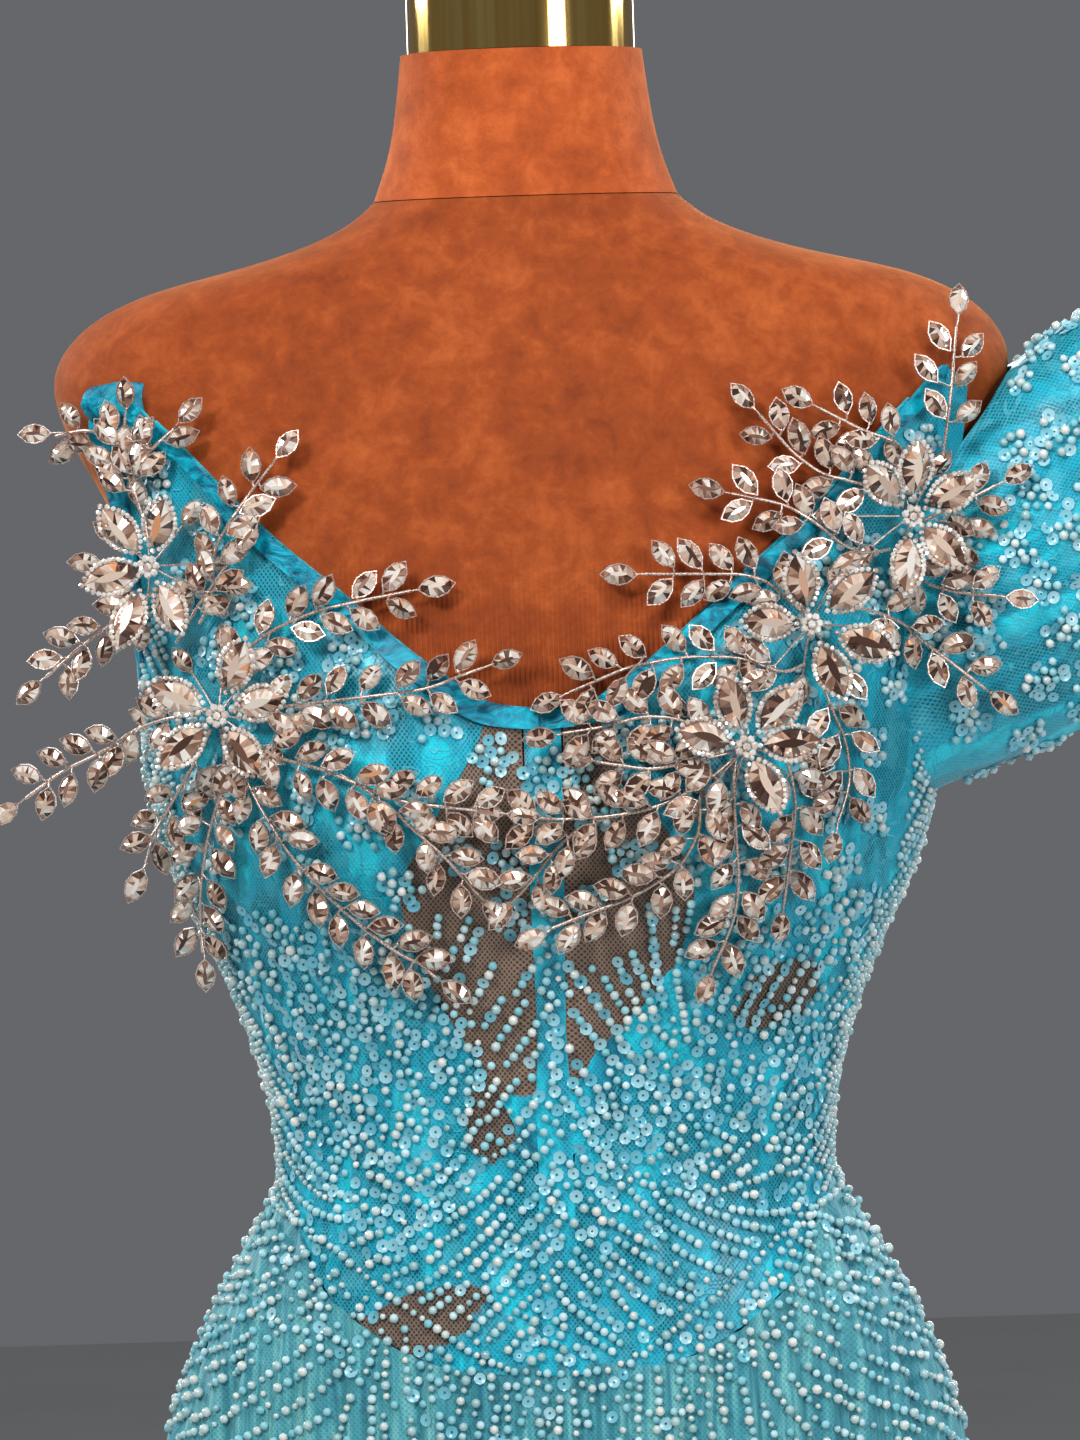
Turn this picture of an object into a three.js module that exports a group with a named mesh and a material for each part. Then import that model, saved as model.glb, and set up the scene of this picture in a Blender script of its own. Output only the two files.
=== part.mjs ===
// A mermaid prom dress on a limbless dress form with a weighted stand. Millimetres, Z up.
// The dress faces -Y and its one sleeve is on the +X side. The origin is under the base plate.

import * as THREE from 'three';

const DEGREE = Math.PI / 180;

// ---------------------------------------------------------------- driving sizes

const HEM_HEIGHT = 8;
const KNEE_HEIGHT = 500;
const FORM_BOTTOM = 770;
const NECK_SEAM_HEIGHT = 1465;
const NECK_TOP_HEIGHT = 1527;
const CAP_HEIGHT = 64;
const CAP_RADIUS = 49;
const CAP_ROUNDING = 9;
const NECK_SEAM_GAP = 0.4;

const SEAM_GAP = 0.3;
const WAIST_SEAM_GAP = 0.6;
const PANEL = { inner: 3.0, outer: 4.5 };
const BINDING = { inner: 5.5, outer: 6.7 };
const VINE = { inner: 7.5, outer: 8.6 };
const SLEEVE = { inner: 5.3, outer: 6.6 };
const FLOWER_LIFT = 9;

// Exponent of the oval sections: 1 is an ellipse, less is squarer.
const OVAL_POWER = 0.91;

// The figure's oval at each height: half its width, its depth to the front and to the back, and
// how far it lies behind the pole. The form fills it above FORM_BOTTOM; the skirt follows it down.
const FIGURE = [
  { height: 0, half: 405, front: 385, back: 480, behind: 0 },
  { height: 120, half: 335, front: 318, back: 392, behind: 0 },
  { height: 240, half: 258, front: 244, back: 290, behind: 0 },
  { height: 360, half: 186, front: 172, back: 196, behind: 0 },
  { height: 440, half: 152, front: 130, back: 143, behind: 0 },
  { height: 510, half: 134, front: 110, back: 120, behind: 0 },
  { height: 610, half: 136, front: 103, back: 118, behind: 0 },
  { height: 700, half: 149, front: 99, back: 124, behind: 0 },
  { height: 790, half: 163, front: 97, back: 130, behind: 0 },
  { height: 860, half: 170, front: 97, back: 132, behind: 0 },
  { height: 905, half: 172, front: 96, back: 128, behind: 0 },
  { height: 940, half: 166, front: 93, back: 121, behind: 0 },
  { height: 975, half: 153, front: 89, back: 110, behind: 0 },
  { height: 1005, half: 136, front: 84, back: 98, behind: 0 },
  { height: 1030, half: 119, front: 80, back: 88, behind: 0 },
  { height: 1055, half: 112, front: 78, back: 82, behind: 0 },
  { height: 1085, half: 117, front: 79, back: 82, behind: 0 },
  { height: 1115, half: 126, front: 82, back: 86, behind: 0 },
  { height: 1145, half: 138, front: 86, back: 92, behind: 0 },
  { height: 1180, half: 155, front: 90, back: 99, behind: 0 },
  { height: 1220, half: 165, front: 93, back: 105, behind: 0 },
  { height: 1265, half: 166, front: 94, back: 108, behind: 0 },
  { height: 1305, half: 171, front: 90, back: 106, behind: 1 },
  { height: 1345, half: 186, front: 84, back: 102, behind: 3 },
  { height: 1373, half: 203, front: 78, back: 94, behind: 5 },
  { height: 1393, half: 207, front: 72, back: 85, behind: 6 },
  { height: 1411, half: 197, front: 66, back: 75, behind: 7 },
  { height: 1428, half: 168, front: 61, back: 65, behind: 8 },
  { height: 1440, half: 116, front: 57, back: 58, behind: 9 },
  { height: 1453, half: 79, front: 53, back: 53, behind: 10 },
  { height: 1466, half: 65, front: 52, back: 52, behind: 11 },
  { height: 1495, half: 56, front: 51, back: 51, behind: 12 },
  { height: 1530, half: 52, front: 50, back: 50, behind: 12 },
];

// Two soft mounds that the cups are cut for.
const BUST = { forward: 27, aside: 66, spreadAside: 58, height: 1213, spreadUp: 60 };

// The pointed seam where the skirt is set into the bodice, by angle from the centre front.
const WAIST_SEAM = [
  { angle: 0, height: 973 },
  { angle: 12, height: 974.5 },
  { angle: 22, height: 982 },
  { angle: 34, height: 996 },
  { angle: 45, height: 1009 },
  { angle: 55, height: 1023 },
  { angle: 70, height: 1034 },
  { angle: 90, height: 1040 },
  { angle: 180, height: 1046 },
];

// The top edge: the sweetheart neckline up to the tip at the shoulder, the armhole, the back.
const TOP_EDGE = [
  { angle: 0, height: 1252 },
  { angle: 6, height: 1255 },
  { angle: 12, height: 1268 },
  { angle: 17, height: 1279 },
  { angle: 24, height: 1298 },
  { angle: 30, height: 1312 },
  { angle: 37, height: 1330 },
  { angle: 42, height: 1349 },
  { angle: 46, height: 1368 },
  { angle: 51, height: 1383 },
  { angle: 56, height: 1389 },
  { angle: 60, height: 1381 },
  { angle: 65, height: 1361 },
  { angle: 69, height: 1344 },
  { angle: 74, height: 1322 },
  { angle: 80, height: 1295 },
  { angle: 86, height: 1273 },
  { angle: 92, height: 1260 },
  { angle: 100, height: 1254 },
  { angle: 115, height: 1257 },
  { angle: 135, height: 1263 },
  { angle: 180, height: 1262 },
];
const SHOULDER_TIP_ANGLE = 56;

// How far up the bodice, from the waist seam (0) to the top edge (1), the see-through inset's
// outer edge is at each angle. It starts as a point and is widest under the bust.
const INSET_EDGE = [
  { up: 0.38, angle: 4 },
  { up: 0.44, angle: 12.5 },
  { up: 0.5, angle: 17.5 },
  { up: 0.56, angle: 21 },
  { up: 0.64, angle: 21.5 },
  { up: 0.74, angle: 16 },
  { up: 0.84, angle: 11.5 },
  { up: 0.96, angle: 6.6 },
  { up: 1, angle: 6 },
];
const INSET_START = 0.38;
const CUP_SEAM = 0.5;
const CENTRE_STRIP_ANGLE = 2.6;
const PRINCESS_ANGLE = { atWaist: 40, atTop: 48 };
const SIDE_SEAM_ANGLE = 90;
const SIDE_BACK_ANGLE = 138;
const CENTRE_BACK_ANGLE = 180;

const BODICE_ROWS = [0, 0.1, 0.2, 0.3, 0.38, 0.44, 0.5, 0.56, 0.64, 0.74, 0.84, 0.93, 1];

// ---------------------------------------------------------------- reading the tables

// Smooth value of a column where `key` equals `at`, with slopes that never overshoot the rows.
function readTable(rows, key, column, at) {
  const last = rows.length - 1;
  if (at <= rows[0][key]) return rows[0][column];
  if (at >= rows[last][key]) return rows[last][column];
  let i = 0;
  while (rows[i + 1][key] < at) i += 1;
  const rise = (j) => (rows[j + 1][column] - rows[j][column]) / (rows[j + 1][key] - rows[j][key]);
  const slope = (j) => {
    if (j === 0 || j === last) return 0;
    const before = rise(j - 1);
    const after = rise(j);
    return before * after <= 0 ? 0 : (2 * before * after) / (before + after);
  };
  const span = rows[i + 1][key] - rows[i][key];
  const t = (at - rows[i][key]) / span;
  const start = rows[i][column];
  const end = rows[i + 1][column];
  return (
    start * (2 * t ** 3 - 3 * t ** 2 + 1) +
    end * (3 * t ** 2 - 2 * t ** 3) +
    span * slope(i) * (t ** 3 - 2 * t ** 2 + t) +
    span * slope(i + 1) * (t ** 3 - t ** 2)
  );
}

const waistSeam = (angle) => readTable(WAIST_SEAM, 'angle', 'height', Math.abs(angle));
const topEdge = (angle) => readTable(TOP_EDGE, 'angle', 'height', Math.abs(angle));
const insetEdge = (up) => readTable(INSET_EDGE, 'up', 'angle', up);
const princessLine = (up) => THREE.MathUtils.lerp(PRINCESS_ANGLE.atWaist, PRINCESS_ANGLE.atTop, up);

// ---------------------------------------------------------------- the figure's surface

// Folds of the flared hem: uneven waves that die out towards the knee.
const FOLDS = { count: 11, second: 7, third: 17, depth: 26, start: KNEE_HEIGHT + 20 };

function foldDepth(angle, height) {
  if (height > FOLDS.start) return 0;
  const drop = (FOLDS.start - height) / FOLDS.start;
  const turn = angle * DEGREE;
  const wave =
    Math.cos(FOLDS.count * turn) +
    0.45 * Math.cos(FOLDS.second * turn + 1.3) +
    0.25 * Math.cos(FOLDS.third * turn + 0.6);
  return FOLDS.depth * drop ** 1.4 * wave;
}

function bustForward(x, height) {
  const aside = (Math.abs(x) - BUST.aside) / BUST.spreadAside;
  const up = (height - BUST.height) / BUST.spreadUp;
  return BUST.forward * Math.exp(-aside * aside - up * up);
}

// A point on the figure, `lift` millimetres out from the form, at an angle from the centre
// front (positive towards +X) and a height.
function figurePoint(angle, height, lift) {
  const grow = lift + foldDepth(angle, height);
  const sine = Math.sin(angle * DEGREE);
  const cosine = Math.cos(angle * DEGREE);
  const side = cosine > 0 ? 'front' : 'back';
  const half = readTable(FIGURE, 'height', 'half', height) + grow;
  const depth = readTable(FIGURE, 'height', side, height) + grow;
  const behind = readTable(FIGURE, 'height', 'behind', height);
  const x = half * Math.sign(sine) * Math.abs(sine) ** OVAL_POWER;
  let y = behind - depth * Math.sign(cosine) * Math.abs(cosine) ** OVAL_POWER;
  if (cosine > 0) y -= bustForward(x, height) * Math.min(1, 3 * cosine);
  return new THREE.Vector3(x, y, height);
}

// The angle at which the figure, `lift` millimetres out, is x millimetres off its centre plane.
function angleAt(x, height, lift) {
  const half = readTable(FIGURE, 'height', 'half', height) + lift;
  const share = Math.min(0.995, Math.abs(x) / half);
  return (Math.sign(x) * Math.asin(share ** (1 / OVAL_POWER))) / DEGREE;
}

function frontPoint(x, height, lift) {
  return figurePoint(angleAt(x, height, lift), height, lift);
}

// ---------------------------------------------------------------- making solids

const dress = new THREE.Group();
dress.name = 'mermaid_prom_dress';

const CLOTH_COLOURS = {
  satin: 0x14a6c4,
  binding: 0x0b8fa6,
  lace: 0x35b2c8,
  mesh: 0x5d4a3c,
  tulle: 0x63b7bd,
};

function finish(color, roughness, metalness = 0) {
  return new THREE.MeshStandardMaterial({ color, roughness, metalness });
}

// Adds a closed mesh from its points and triangles, turned so that its faces point out.
function addSolid(name, points, triangles, material, parent = dress) {
  let volume = 0;
  for (const [a, b, c] of triangles) {
    volume += points[a].dot(new THREE.Vector3().crossVectors(points[b], points[c]));
  }
  const order = volume < 0 ? [0, 2, 1] : [0, 1, 2];
  const geometry = new THREE.BufferGeometry();
  const flat = points.flatMap((point) => [point.x, point.y, point.z]);
  geometry.setAttribute('position', new THREE.Float32BufferAttribute(flat, 3));
  geometry.setIndex(triangles.flatMap((triangle) => order.map((k) => triangle[k])));
  geometry.computeVertexNormals();
  const mesh = new THREE.Mesh(geometry, material);
  mesh.name = name;
  parent.add(mesh);
  return mesh;
}

// Cloth as a wall: `face(i, j, side)` gives the point at column i and row j on side 'inner' or
// 'outer'. A closed wall joins its last column to its first, as a tube does.
function addWall(name, columns, rows, face, material, closed = false) {
  const across = closed ? columns : columns + 1;
  const points = [];
  for (const side of ['outer', 'inner']) {
    for (let j = 0; j <= rows; j += 1) {
      for (let i = 0; i < across; i += 1) points.push(face(i, j, side));
    }
  }
  const layer = across * (rows + 1);
  const at = (i, j, inner) => (inner ? layer : 0) + j * across + (i % across);
  const triangles = [];
  const quad = (a, b, c, d) => triangles.push([a, b, c], [a, c, d]);
  for (let j = 0; j < rows; j += 1) {
    for (let i = 0; i < columns; i += 1) {
      quad(at(i, j, false), at(i + 1, j, false), at(i + 1, j + 1, false), at(i, j + 1, false));
      quad(at(i, j, true), at(i, j + 1, true), at(i + 1, j + 1, true), at(i + 1, j, true));
    }
  }
  for (let i = 0; i < columns; i += 1) {
    quad(at(i, 0, true), at(i + 1, 0, true), at(i + 1, 0, false), at(i, 0, false));
    quad(at(i, rows, false), at(i + 1, rows, false), at(i + 1, rows, true), at(i, rows, true));
  }
  if (!closed) {
    for (let j = 0; j < rows; j += 1) {
      quad(at(0, j, false), at(0, j + 1, false), at(0, j + 1, true), at(0, j, true));
      quad(at(columns, j, true), at(columns, j + 1, true), at(columns, j + 1, false), at(columns, j, false));
    }
  }
  return addSolid(name, points, triangles, material);
}

// A solid through closed rings of equal length, shut at both ends with a middle point.
function addLoft(name, rings, material) {
  const around = rings[0].length;
  const points = rings.flat();
  const triangles = [];
  for (let j = 0; j + 1 < rings.length; j += 1) {
    for (let i = 0; i < around; i += 1) {
      const next = (i + 1) % around;
      const low = j * around;
      const high = low + around;
      triangles.push([low + i, low + next, high + next], [low + i, high + next, high + i]);
    }
  }
  const middle = (ring) => {
    const sum = new THREE.Vector3();
    for (const point of ring) sum.add(point);
    return sum.divideScalar(ring.length);
  };
  const bottom = points.push(middle(rings[0])) - 1;
  const top = points.push(middle(rings[rings.length - 1])) - 1;
  const high = (rings.length - 1) * around;
  for (let i = 0; i < around; i += 1) {
    const next = (i + 1) % around;
    triangles.push([bottom, next, i], [top, high + i, high + next]);
  }
  return addSolid(name, points, triangles, material);
}

// A panel between two seams. `seams(row)` gives the angles of its edges at a row of `ups`, and
// `heightOf(angle, up)` its height there. Half a seam's gap is taken off every side.
function addPanel({ name, columns, ups, seams, heightOf, layer, material, side = 1 }) {
  const face = (i, j, which) => {
    const [near, far] = seams(ups[j]);
    const lift = layer[which];
    const radius = figurePoint((near + far) / 2, heightOf(near, ups[j]), lift).setZ(0).length();
    const trim = SEAM_GAP / 2 / radius / DEGREE;
    const angle = THREE.MathUtils.lerp(near + trim, far - trim, i / columns);
    let height = heightOf(angle, ups[j]);
    if (j === 0) height += SEAM_GAP / 2;
    if (j === ups.length - 1) height -= SEAM_GAP / 2;
    return figurePoint(side * angle, height, lift);
  };
  return addWall(name, columns, ups.length - 1, face, material);
}

const SIDES = [
  { word: 'left', side: -1 },
  { word: 'right', side: 1 },
];

// ---------------------------------------------------------------- the dress form and its stand

const AROUND_FORM = 36;
const FORM_HEIGHTS = [
  FORM_BOTTOM, 800, 840, 880, 915, 945, 970, 995, 1020, 1055, 1090, 1120, 1150, 1175, 1200, 1225, 1250, 1280,
  1310, 1340, 1362, 1380, 1395, 1409, 1420, 1430, 1437, 1445, 1455, NECK_SEAM_HEIGHT - NECK_SEAM_GAP,
];

function formRing(height, lift = 0) {
  return Array.from({ length: AROUND_FORM }, (_, i) => figurePoint((i * 360) / AROUND_FORM, height, lift));
}

const suede = finish(0xb5572a, 0.85);
addLoft('form_torso', FORM_HEIGHTS.map((height) => formRing(height)), suede);

const NECK_HEIGHTS = [NECK_SEAM_HEIGHT, 1482, 1500, NECK_TOP_HEIGHT];
addLoft('form_neck', NECK_HEIGHTS.map((height) => formRing(height)), suede);

// The mirror-bright cap is turned to one profile and stands on the neck.
const NECK_BEHIND = 12;
const capProfile = [
  new THREE.Vector2(0, 0),
  new THREE.Vector2(CAP_RADIUS, 0),
  new THREE.Vector2(CAP_RADIUS, CAP_HEIGHT - CAP_ROUNDING),
  new THREE.Vector2(CAP_RADIUS - CAP_ROUNDING * 0.3, CAP_HEIGHT - CAP_ROUNDING * 0.3),
  new THREE.Vector2(CAP_RADIUS - CAP_ROUNDING, CAP_HEIGHT),
  new THREE.Vector2(0, CAP_HEIGHT),
];

function addTurned(name, profile, segments, bottom, material, behind = 0) {
  const lathe = new THREE.LatheGeometry(profile, segments);
  const mesh = new THREE.Mesh(lathe, material);
  mesh.name = name;
  mesh.rotation.x = Math.PI / 2;
  mesh.position.set(0, behind, bottom);
  dress.add(mesh);
  return mesh;
}

const gold = finish(0xd9a441, 0.12, 1);
addTurned('form_cap', capProfile, 36, NECK_TOP_HEIGHT + SEAM_GAP, gold, NECK_BEHIND);

const POLE_RADIUS = 14;
const BASE_RADIUS = 190;
const BASE_THICKNESS = 10;
const SOCKET_RADIUS = 24;
const SOCKET_HEIGHT = 34;
const baseProfile = [
  new THREE.Vector2(0, 0),
  new THREE.Vector2(BASE_RADIUS, 0),
  new THREE.Vector2(BASE_RADIUS, BASE_THICKNESS - 3),
  new THREE.Vector2(BASE_RADIUS - 4, BASE_THICKNESS),
  new THREE.Vector2(SOCKET_RADIUS + 6, BASE_THICKNESS + 2),
  new THREE.Vector2(SOCKET_RADIUS, SOCKET_HEIGHT),
  new THREE.Vector2(0, SOCKET_HEIGHT),
];
const poleProfile = [
  new THREE.Vector2(0, SOCKET_HEIGHT + SEAM_GAP),
  new THREE.Vector2(POLE_RADIUS, SOCKET_HEIGHT + SEAM_GAP),
  new THREE.Vector2(POLE_RADIUS, FORM_BOTTOM - SEAM_GAP),
  new THREE.Vector2(0, FORM_BOTTOM - SEAM_GAP),
];
const steel = finish(0x2a2a2c, 0.45, 0.9);
addTurned('stand_base', baseProfile, 48, 0, steel);
addTurned('stand_pole', poleProfile, 24, 0, steel);

// ---------------------------------------------------------------- the bodice

const bodiceHeight = (angle, up) => THREE.MathUtils.lerp(waistSeam(angle), topEdge(angle), up);
const rowsBetween = (low, high) => BODICE_ROWS.filter((up) => up >= low && up <= high);

const satin = finish(CLOTH_COLOURS.satin, 0.4);
const lace = finish(CLOTH_COLOURS.lace, 0.6);
const mesh = finish(CLOTH_COLOURS.mesh, 0.8);
const boundSatin = finish(CLOTH_COLOURS.binding, 0.3);
const tulle = finish(CLOTH_COLOURS.tulle, 0.7);

function addBodicePanel(name, columns, low, high, seams, material, side) {
  const ups = rowsBetween(low, high);
  addPanel({ name, columns, ups, seams, heightOf: bodiceHeight, layer: PANEL, material, side });
}

addBodicePanel('centre_front_strip', 2, 0, 1, () => [-CENTRE_STRIP_ANGLE, CENTRE_STRIP_ANGLE], satin, 1);
for (const { word, side } of SIDES) {
  const insetSide = (up) => (up < INSET_START ? CENTRE_STRIP_ANGLE : insetEdge(up));
  addBodicePanel(`lower_front_${word}`, 6, 0, CUP_SEAM, (up) => [insetSide(up), princessLine(up)], lace, side);
  addBodicePanel(`mesh_inset_${word}`, 2, INSET_START, 1, (up) => [CENTRE_STRIP_ANGLE, insetEdge(up)], mesh, side);
  addBodicePanel(`cup_${word}`, 9, CUP_SEAM, 1, (up) => [insetEdge(up), princessLine(up)], lace, side);
  addBodicePanel(`side_front_${word}`, 7, 0, 1, (up) => [princessLine(up), SIDE_SEAM_ANGLE], lace, side);
  addBodicePanel(`side_back_${word}`, 5, 0, 1, () => [SIDE_SEAM_ANGLE, SIDE_BACK_ANGLE], lace, side);
  addBodicePanel(`centre_back_${word}`, 4, 0, 1, () => [SIDE_BACK_ANGLE, CENTRE_BACK_ANGLE], lace, side);
}

// The bound edge: a turned satin strip sewn over the top of the panels.
const BINDING_WIDTH = 9;
const BINDING_RIM = 0.6;
const FRONT_BINDING_ANGLES = [
  0.3, 3, 6, 9, 12, 15, 18, 21, 24, 27, 30, 33, 36, 39, 42, 45, 48, 51, 54,
];
const ARMHOLE_BINDING_ANGLES = [57, 59, 61, 63, 65, 67, 69, 72, 75, 78, 81, 84, 88, 92, 97, 104, 112];
const BACK_BINDING_ANGLES = [120, 130, 140, 150, 160, 170, 179.2];

// The edge's slope is allowed for, so that the strip keeps its width on the steep stretches.
function bindingDrop(angle) {
  const step = 1;
  const here = figurePoint(angle, topEdge(angle), 0);
  const there = figurePoint(angle + step, topEdge(angle + step), 0);
  const run = Math.hypot(there.x - here.x, there.y - here.y);
  const steepness = Math.abs(there.z - here.z) / run;
  return BINDING_WIDTH * Math.min(3, Math.hypot(1, steepness));
}

function addBinding(name, angles, side) {
  const face = (i, j, which) => {
    const edge = topEdge(angles[i]) + BINDING_RIM;
    const height = edge - (1 - j) * bindingDrop(angles[i]);
    return figurePoint(side * angles[i], height, BINDING[which]);
  };
  addWall(name, angles.length - 1, 1, face, boundSatin);
}

for (const { word, side } of SIDES) {
  addBinding(`neckline_binding_${word}`, FRONT_BINDING_ANGLES, side);
}
addBinding('back_binding_left', [...ARMHOLE_BINDING_ANGLES, ...BACK_BINDING_ANGLES], -1);
addBinding('back_binding_right', BACK_BINDING_ANGLES, 1);

// The gathered knot that ends the strap on the side without a sleeve.
const KNOT = {
  from: 50, to: 63, columns: 6, low: 1376, high: 1399, rows: 4, inner: 7.4, edge: 1.5, swell: 7,
};
addWall(
  'strap_knot',
  KNOT.columns,
  KNOT.rows,
  (i, j, which) => {
    const angle = THREE.MathUtils.lerp(KNOT.from, KNOT.to, i / KNOT.columns);
    const height = THREE.MathUtils.lerp(KNOT.low, KNOT.high, j / KNOT.rows);
    const across = Math.sin((Math.PI * (i + 0.5)) / (KNOT.columns + 1));
    const along = Math.sin((Math.PI * (j + 0.5)) / (KNOT.rows + 1));
    const thickness = which === 'inner' ? 0 : KNOT.edge + KNOT.swell * across * along;
    return figurePoint(-angle, height, KNOT.inner + thickness);
  },
  boundSatin,
);

// ---------------------------------------------------------------- the sleeve

// Its head is sewn over the armhole and it is held out and up, as if on a raised arm. Angles
// run round it from its top, through the front, to the underarm and up the back. A ring's lean
// is how far its top is ahead of its middle along the sleeve, and blend how far it has left the
// armhole for the plain tube.
const SLEEVE_HEAD = { angle: 90, spread: 27, height: 1297, rise: 92, squareness: 0.5 };
const SLEEVE_SLOPE = 22;
const SLEEVE_DROOP = 50;
const SLEEVE_BEND_START = 90;
const SLEEVE_RINGS = [
  { along: 0, lean: 56, tall: 76, deep: 60, blend: 0 },
  { along: 12, lean: 54, tall: 78, deep: 60, blend: 0.3 },
  { along: 26, lean: 46, tall: 80, deep: 58, blend: 0.65 },
  { along: 42, lean: 36, tall: 81, deep: 54, blend: 0.9 },
  { along: 64, lean: 24, tall: 81, deep: 50, blend: 1 },
  { along: 110, lean: 8, tall: 79, deep: 47, blend: 1 },
  { along: 155, lean: 2, tall: 76, deep: 46, blend: 1 },
  { along: 200, lean: 0, tall: 73, deep: 45, blend: 1 },
  { along: 245, lean: 0, tall: 70, deep: 44, blend: 1 },
  { along: 285, lean: 0, tall: 68, deep: 43, blend: 1 },
];
const SLEEVE_START = new THREE.Vector3(186, 4, 1299);
const SLEEVE_LENGTH = 301;
const SLEEVE_AROUND = 28;
const CUFF_WIDTH = 16;
const CUFF_EXTRA = 0.5;

// The sleeve's middle line: straight at first, then an arc that lets its end hang.
function sleeveMiddle(along) {
  const bent = Math.max(0, along - SLEEVE_BEND_START);
  const turned = (SLEEVE_DROOP * DEGREE * bent) / (SLEEVE_LENGTH - SLEEVE_BEND_START);
  const slope = SLEEVE_SLOPE * DEGREE;
  const ahead = new THREE.Vector3(Math.cos(slope), 0, Math.sin(slope));
  const place = SLEEVE_START.clone().addScaledVector(ahead, along - bent);
  if (bent > 0) {
    const radius = bent / turned;
    place.x += radius * (Math.sin(slope) - Math.sin(slope - turned));
    place.z += radius * (Math.cos(slope - turned) - Math.cos(slope));
  }
  const up = new THREE.Vector3(-Math.sin(slope - turned), 0, Math.cos(slope - turned));
  return { place, ahead: new THREE.Vector3(up.z, 0, -up.x), up };
}

function sleevePoint(i, ring, lift) {
  const turn = (2 * Math.PI * i) / SLEEVE_AROUND;
  const up = Math.cos(turn);
  const fore = Math.sin(turn);
  const wide = Math.sign(fore) * Math.abs(fore) ** SLEEVE_HEAD.squareness;
  const head = figurePoint(
    SLEEVE_HEAD.angle - SLEEVE_HEAD.spread * wide,
    SLEEVE_HEAD.height + SLEEVE_HEAD.rise * up,
    lift,
  );
  const grow = lift - SLEEVE.inner;
  const middle = sleeveMiddle(ring.along);
  const tube = middle.place
    .clone()
    .addScaledVector(middle.ahead, ring.lean * up)
    .addScaledVector(middle.up, (ring.tall + grow) * up);
  tube.y -= (ring.deep + grow) * fore;
  return head.lerp(tube, ring.blend);
}

addWall(
  'sleeve',
  SLEEVE_AROUND,
  SLEEVE_RINGS.length - 1,
  (i, j, which) => sleevePoint(i, SLEEVE_RINGS[j], SLEEVE[which]),
  lace,
  true,
);

const sleeveEnd = SLEEVE_RINGS[SLEEVE_RINGS.length - 1];
addWall(
  'sleeve_cuff',
  SLEEVE_AROUND,
  1,
  (i, j, which) => {
    const along = sleeveEnd.along + SEAM_GAP + j * CUFF_WIDTH;
    const lift = which === 'inner' ? SLEEVE.inner : SLEEVE.outer + CUFF_EXTRA;
    return sleevePoint(i, { ...sleeveEnd, along }, lift);
  },
  boundSatin,
  true,
);

// ---------------------------------------------------------------- the skirt

const UPPER_ROWS = [0, 0.06, 0.13, 0.21, 0.3, 0.4, 0.52, 0.66, 0.82, 1];
const FLARE_ROWS = [0, 0.12, 0.25, 0.4, 0.55, 0.7, 0.85, 1];
const UPPER_GORES = [
  { name: 'front_gore', near: -40, far: 40, columns: 13 },
  { name: 'side_gore_left', near: -111, far: -40, columns: 10 },
  { name: 'side_gore_right', near: 40, far: 111, columns: 10 },
  { name: 'back_gore_left', near: -180, far: -111, columns: 7 },
  { name: 'back_gore_right', near: 111, far: 180, columns: 7 },
];
const FLARE_PANELS = 8;
const FLARE_COLUMNS = 8;

const upperHeight = (angle, down) => THREE.MathUtils.lerp(waistSeam(angle) - WAIST_SEAM_GAP, KNEE_HEIGHT, down);
const flareHeight = (angle, down) => THREE.MathUtils.lerp(KNEE_HEIGHT, HEM_HEIGHT, down);
// Rows run down the skirt, so a row's heights are read upside down to keep the trims inside.
const upwards = (rows) => rows.map((down) => 1 - down).reverse();

for (const { name, near, far, columns } of UPPER_GORES) {
  addPanel({
    name,
    columns,
    ups: upwards(UPPER_ROWS),
    seams: () => [near, far],
    heightOf: (angle, up) => upperHeight(angle, 1 - up),
    layer: PANEL,
    material: tulle,
  });
}

for (let k = 0; k < FLARE_PANELS; k += 1) {
  const width = 360 / FLARE_PANELS;
  addPanel({
    name: `flare_panel_${k + 1}`,
    columns: FLARE_COLUMNS,
    ups: upwards(FLARE_ROWS),
    seams: () => [k * width - 180, (k + 1) * width - 180],
    heightOf: (angle, up) => flareHeight(angle, 1 - up),
    layer: PANEL,
    material: tulle,
  });
}

// ---------------------------------------------------------------- the zip

const ZIP = { half: 6, top: 1250, bottom: 880, inner: 5.3, outer: 6.3, rows: 24 };
addWall(
  'zip_tape',
  2,
  ZIP.rows,
  (i, j, which) => {
    const height = THREE.MathUtils.lerp(ZIP.bottom, ZIP.top, j / ZIP.rows);
    const spine = figurePoint(180, height, ZIP[which]);
    spine.x = (i - 1) * ZIP.half;
    return spine;
  },
  boundSatin,
);

// The slider is a block on the tape with a loop, which the pull tab's eye hangs in.
const SLIDER = { clearance: 0.6, half: 5.5, thick: 2.2, height: 1240, loopOuter: 2.6, loopInner: 1.35, loopWidth: 2, loopSunk: 0.3, loopOpen: 2.2 };
const TAB = { width: 5, length: 24, thick: 1.1, eyeHalf: 1.5, eyeTop: 0.55, eyeBottom: 4.2 };
const zipSurface = figurePoint(180, SLIDER.height, ZIP.outer + SLIDER.clearance).y;
const hingeDepth = zipSurface + SLIDER.thick + SLIDER.loopOuter - SLIDER.loopSunk;

function sideProfile(points) {
  return new THREE.Shape(points.map(([depth, height]) => new THREE.Vector2(depth, height)));
}
const steelTrim = finish(0x9aa3a6, 0.3, 1);

function addExtruded(name, shape, thickness, matrix, material) {
  const geometry = new THREE.ExtrudeGeometry(shape, { depth: thickness, bevelEnabled: false, curveSegments: 10 });
  const solid = new THREE.Mesh(geometry, material);
  solid.name = name;
  solid.applyMatrix4(matrix);
  dress.add(solid);
}

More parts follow.
